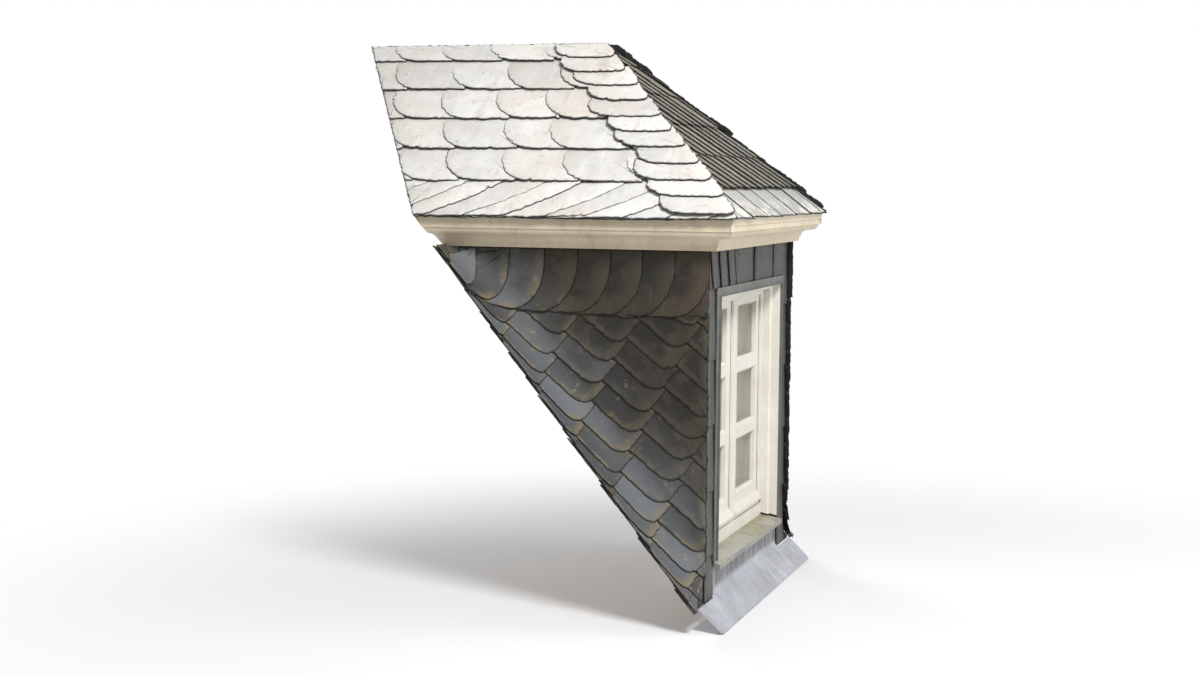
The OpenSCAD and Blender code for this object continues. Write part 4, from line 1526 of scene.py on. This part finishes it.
def add_soft_light(scene):
    """Soft light all round, and white where the camera, glass or metal looks past the dormer."""
    scene.world = bpy.data.worlds.new("studio")
    scene.world.use_nodes = True
    studio = Nodes(scene.world.node_tree)
    soft = studio.tree.nodes["Background"]
    soft.inputs["Color"].default_value = (0.95, 0.97, 1, 1)
    soft.inputs["Strength"].default_value = 0.42
    white = studio.node("ShaderNodeBackground", None, {"Color": (1, 1, 1), "Strength": 1.0})
    seen = studio.ray("Is Camera Ray") + studio.ray("Is Transmission Ray") + studio.ray("Is Glossy Ray")
    studio.surface("World Output", seen, Value(studio, soft.outputs[0]), white)


def add_lamps(scene):
    """A main lamp from the front left, and weaker ones from the front and from behind."""
    middle = Vector((0, 0.6, 1.2))
    for name, place, power, size in (("key", (-4.6, -3.2, 6.0), 540, 2.0),
                                     ("fill", (1.5, -7.0, 2.6), 180, 4.0),
                                     ("back", (4.5, 5.5, 5.0), 220, 4.0)):
        lamp = bpy.data.lights.new(name, "AREA")
        lamp.energy = power
        lamp.size = size
        lamp.shape = "DISK"
        holder = bpy.data.objects.new(name, lamp)
        holder.location = place
        aim = middle - Vector(place)
        holder.rotation_euler = aim.to_track_quat("-Z", "Y").to_euler()
        scene.collection.objects.link(holder)


def add_camera(scene):
    """The photograph's viewing angle, with the whole dormer in the frame."""
    stand = (-8.488, -2.1872, 1.7817)
    yaw, pitch, roll = 0.3250957, 0.08567917, 0.00855
    camera = bpy.data.cameras.new("camera")
    camera.sensor_width = 36
    camera.lens = 55.5
    camera.clip_end = 200
    eye = bpy.data.objects.new("camera", camera)
    ahead = Vector((cos(yaw) * cos(pitch), sin(yaw) * cos(pitch), -sin(pitch)))
    right = Vector((sin(yaw), -cos(yaw), 0))
    up = right.cross(ahead)
    right, up = right * cos(roll) + up * sin(roll), up * cos(roll) - right * sin(roll)
    turned = Matrix((right, up, -ahead)).transposed()
    eye.matrix_world = Matrix.Translation(stand) @ turned.to_4x4()
    scene.collection.objects.link(eye)
    scene.camera = eye


class DORMER_OT_stage(bpy.types.Operator):
    """Set the floor, the soft light, the lamps and the camera."""

    bl_idname = "dormer.stage"
    bl_label = "Stage"

    def execute(self, context):
        add_floor(context.scene)
        add_soft_light(context.scene)
        add_lamps(context.scene)
        add_camera(context.scene)
        context.scene.view_settings.view_transform = "Standard"
        return {"FINISHED"}


class DORMER_PT_panel(bpy.types.Panel):
    """The dormer's sizes, colours and pieces."""

    bl_idname = "DORMER_PT_panel"
    bl_label = "Dormer window"
    bl_space_type = "VIEW_3D"
    bl_region_type = "UI"
    bl_category = "Dormer"

    def draw(self, context):
        for group in (context.scene.dormer_sizes, context.scene.dormer_colours):
            box = self.layout.box()
            for name in group.bl_rna.properties.keys():
                if name not in ("rna_type", "name"):
                    box.prop(group, name)
        for operator in OPERATORS:
            self.layout.operator(operator.bl_idname)


OPERATORS = (
    DORMER_OT_timber,
    DORMER_OT_boards,
    DORMER_OT_cheek_slates,
    DORMER_OT_front_slates,
    DORMER_OT_side_roof_slates,
    DORMER_OT_front_roof_slates,
    DORMER_OT_cornice,
    DORMER_OT_window,
    DORMER_OT_metal,
    DORMER_OT_curtains,
    DORMER_OT_stage,
)
CLASSES = (SlateSizes, DormerColours, *OPERATORS, DORMER_PT_panel)


def register():
    for each in CLASSES:
        bpy.utils.register_class(each)
    bpy.types.Scene.dormer_sizes = bpy.props.PointerProperty(type=SlateSizes)
    bpy.types.Scene.dormer_colours = bpy.props.PointerProperty(type=DormerColours)


def unregister():
    del bpy.types.Scene.dormer_colours
    del bpy.types.Scene.dormer_sizes
    for each in reversed(CLASSES):
        bpy.utils.unregister_class(each)


def main():
    """Makes all pieces and the stage."""
    register()
    bpy.ops.dormer.timber()
    bpy.ops.dormer.boards()
    bpy.ops.dormer.cheek_slates()
    bpy.ops.dormer.front_slates()
    bpy.ops.dormer.side_roof_slates()
    bpy.ops.dormer.front_roof_slates()
    bpy.ops.dormer.cornice()
    bpy.ops.dormer.window()
    bpy.ops.dormer.metal()
    bpy.ops.dormer.curtains()
    bpy.ops.dormer.stage()


if __name__ == "__main__":
    main()
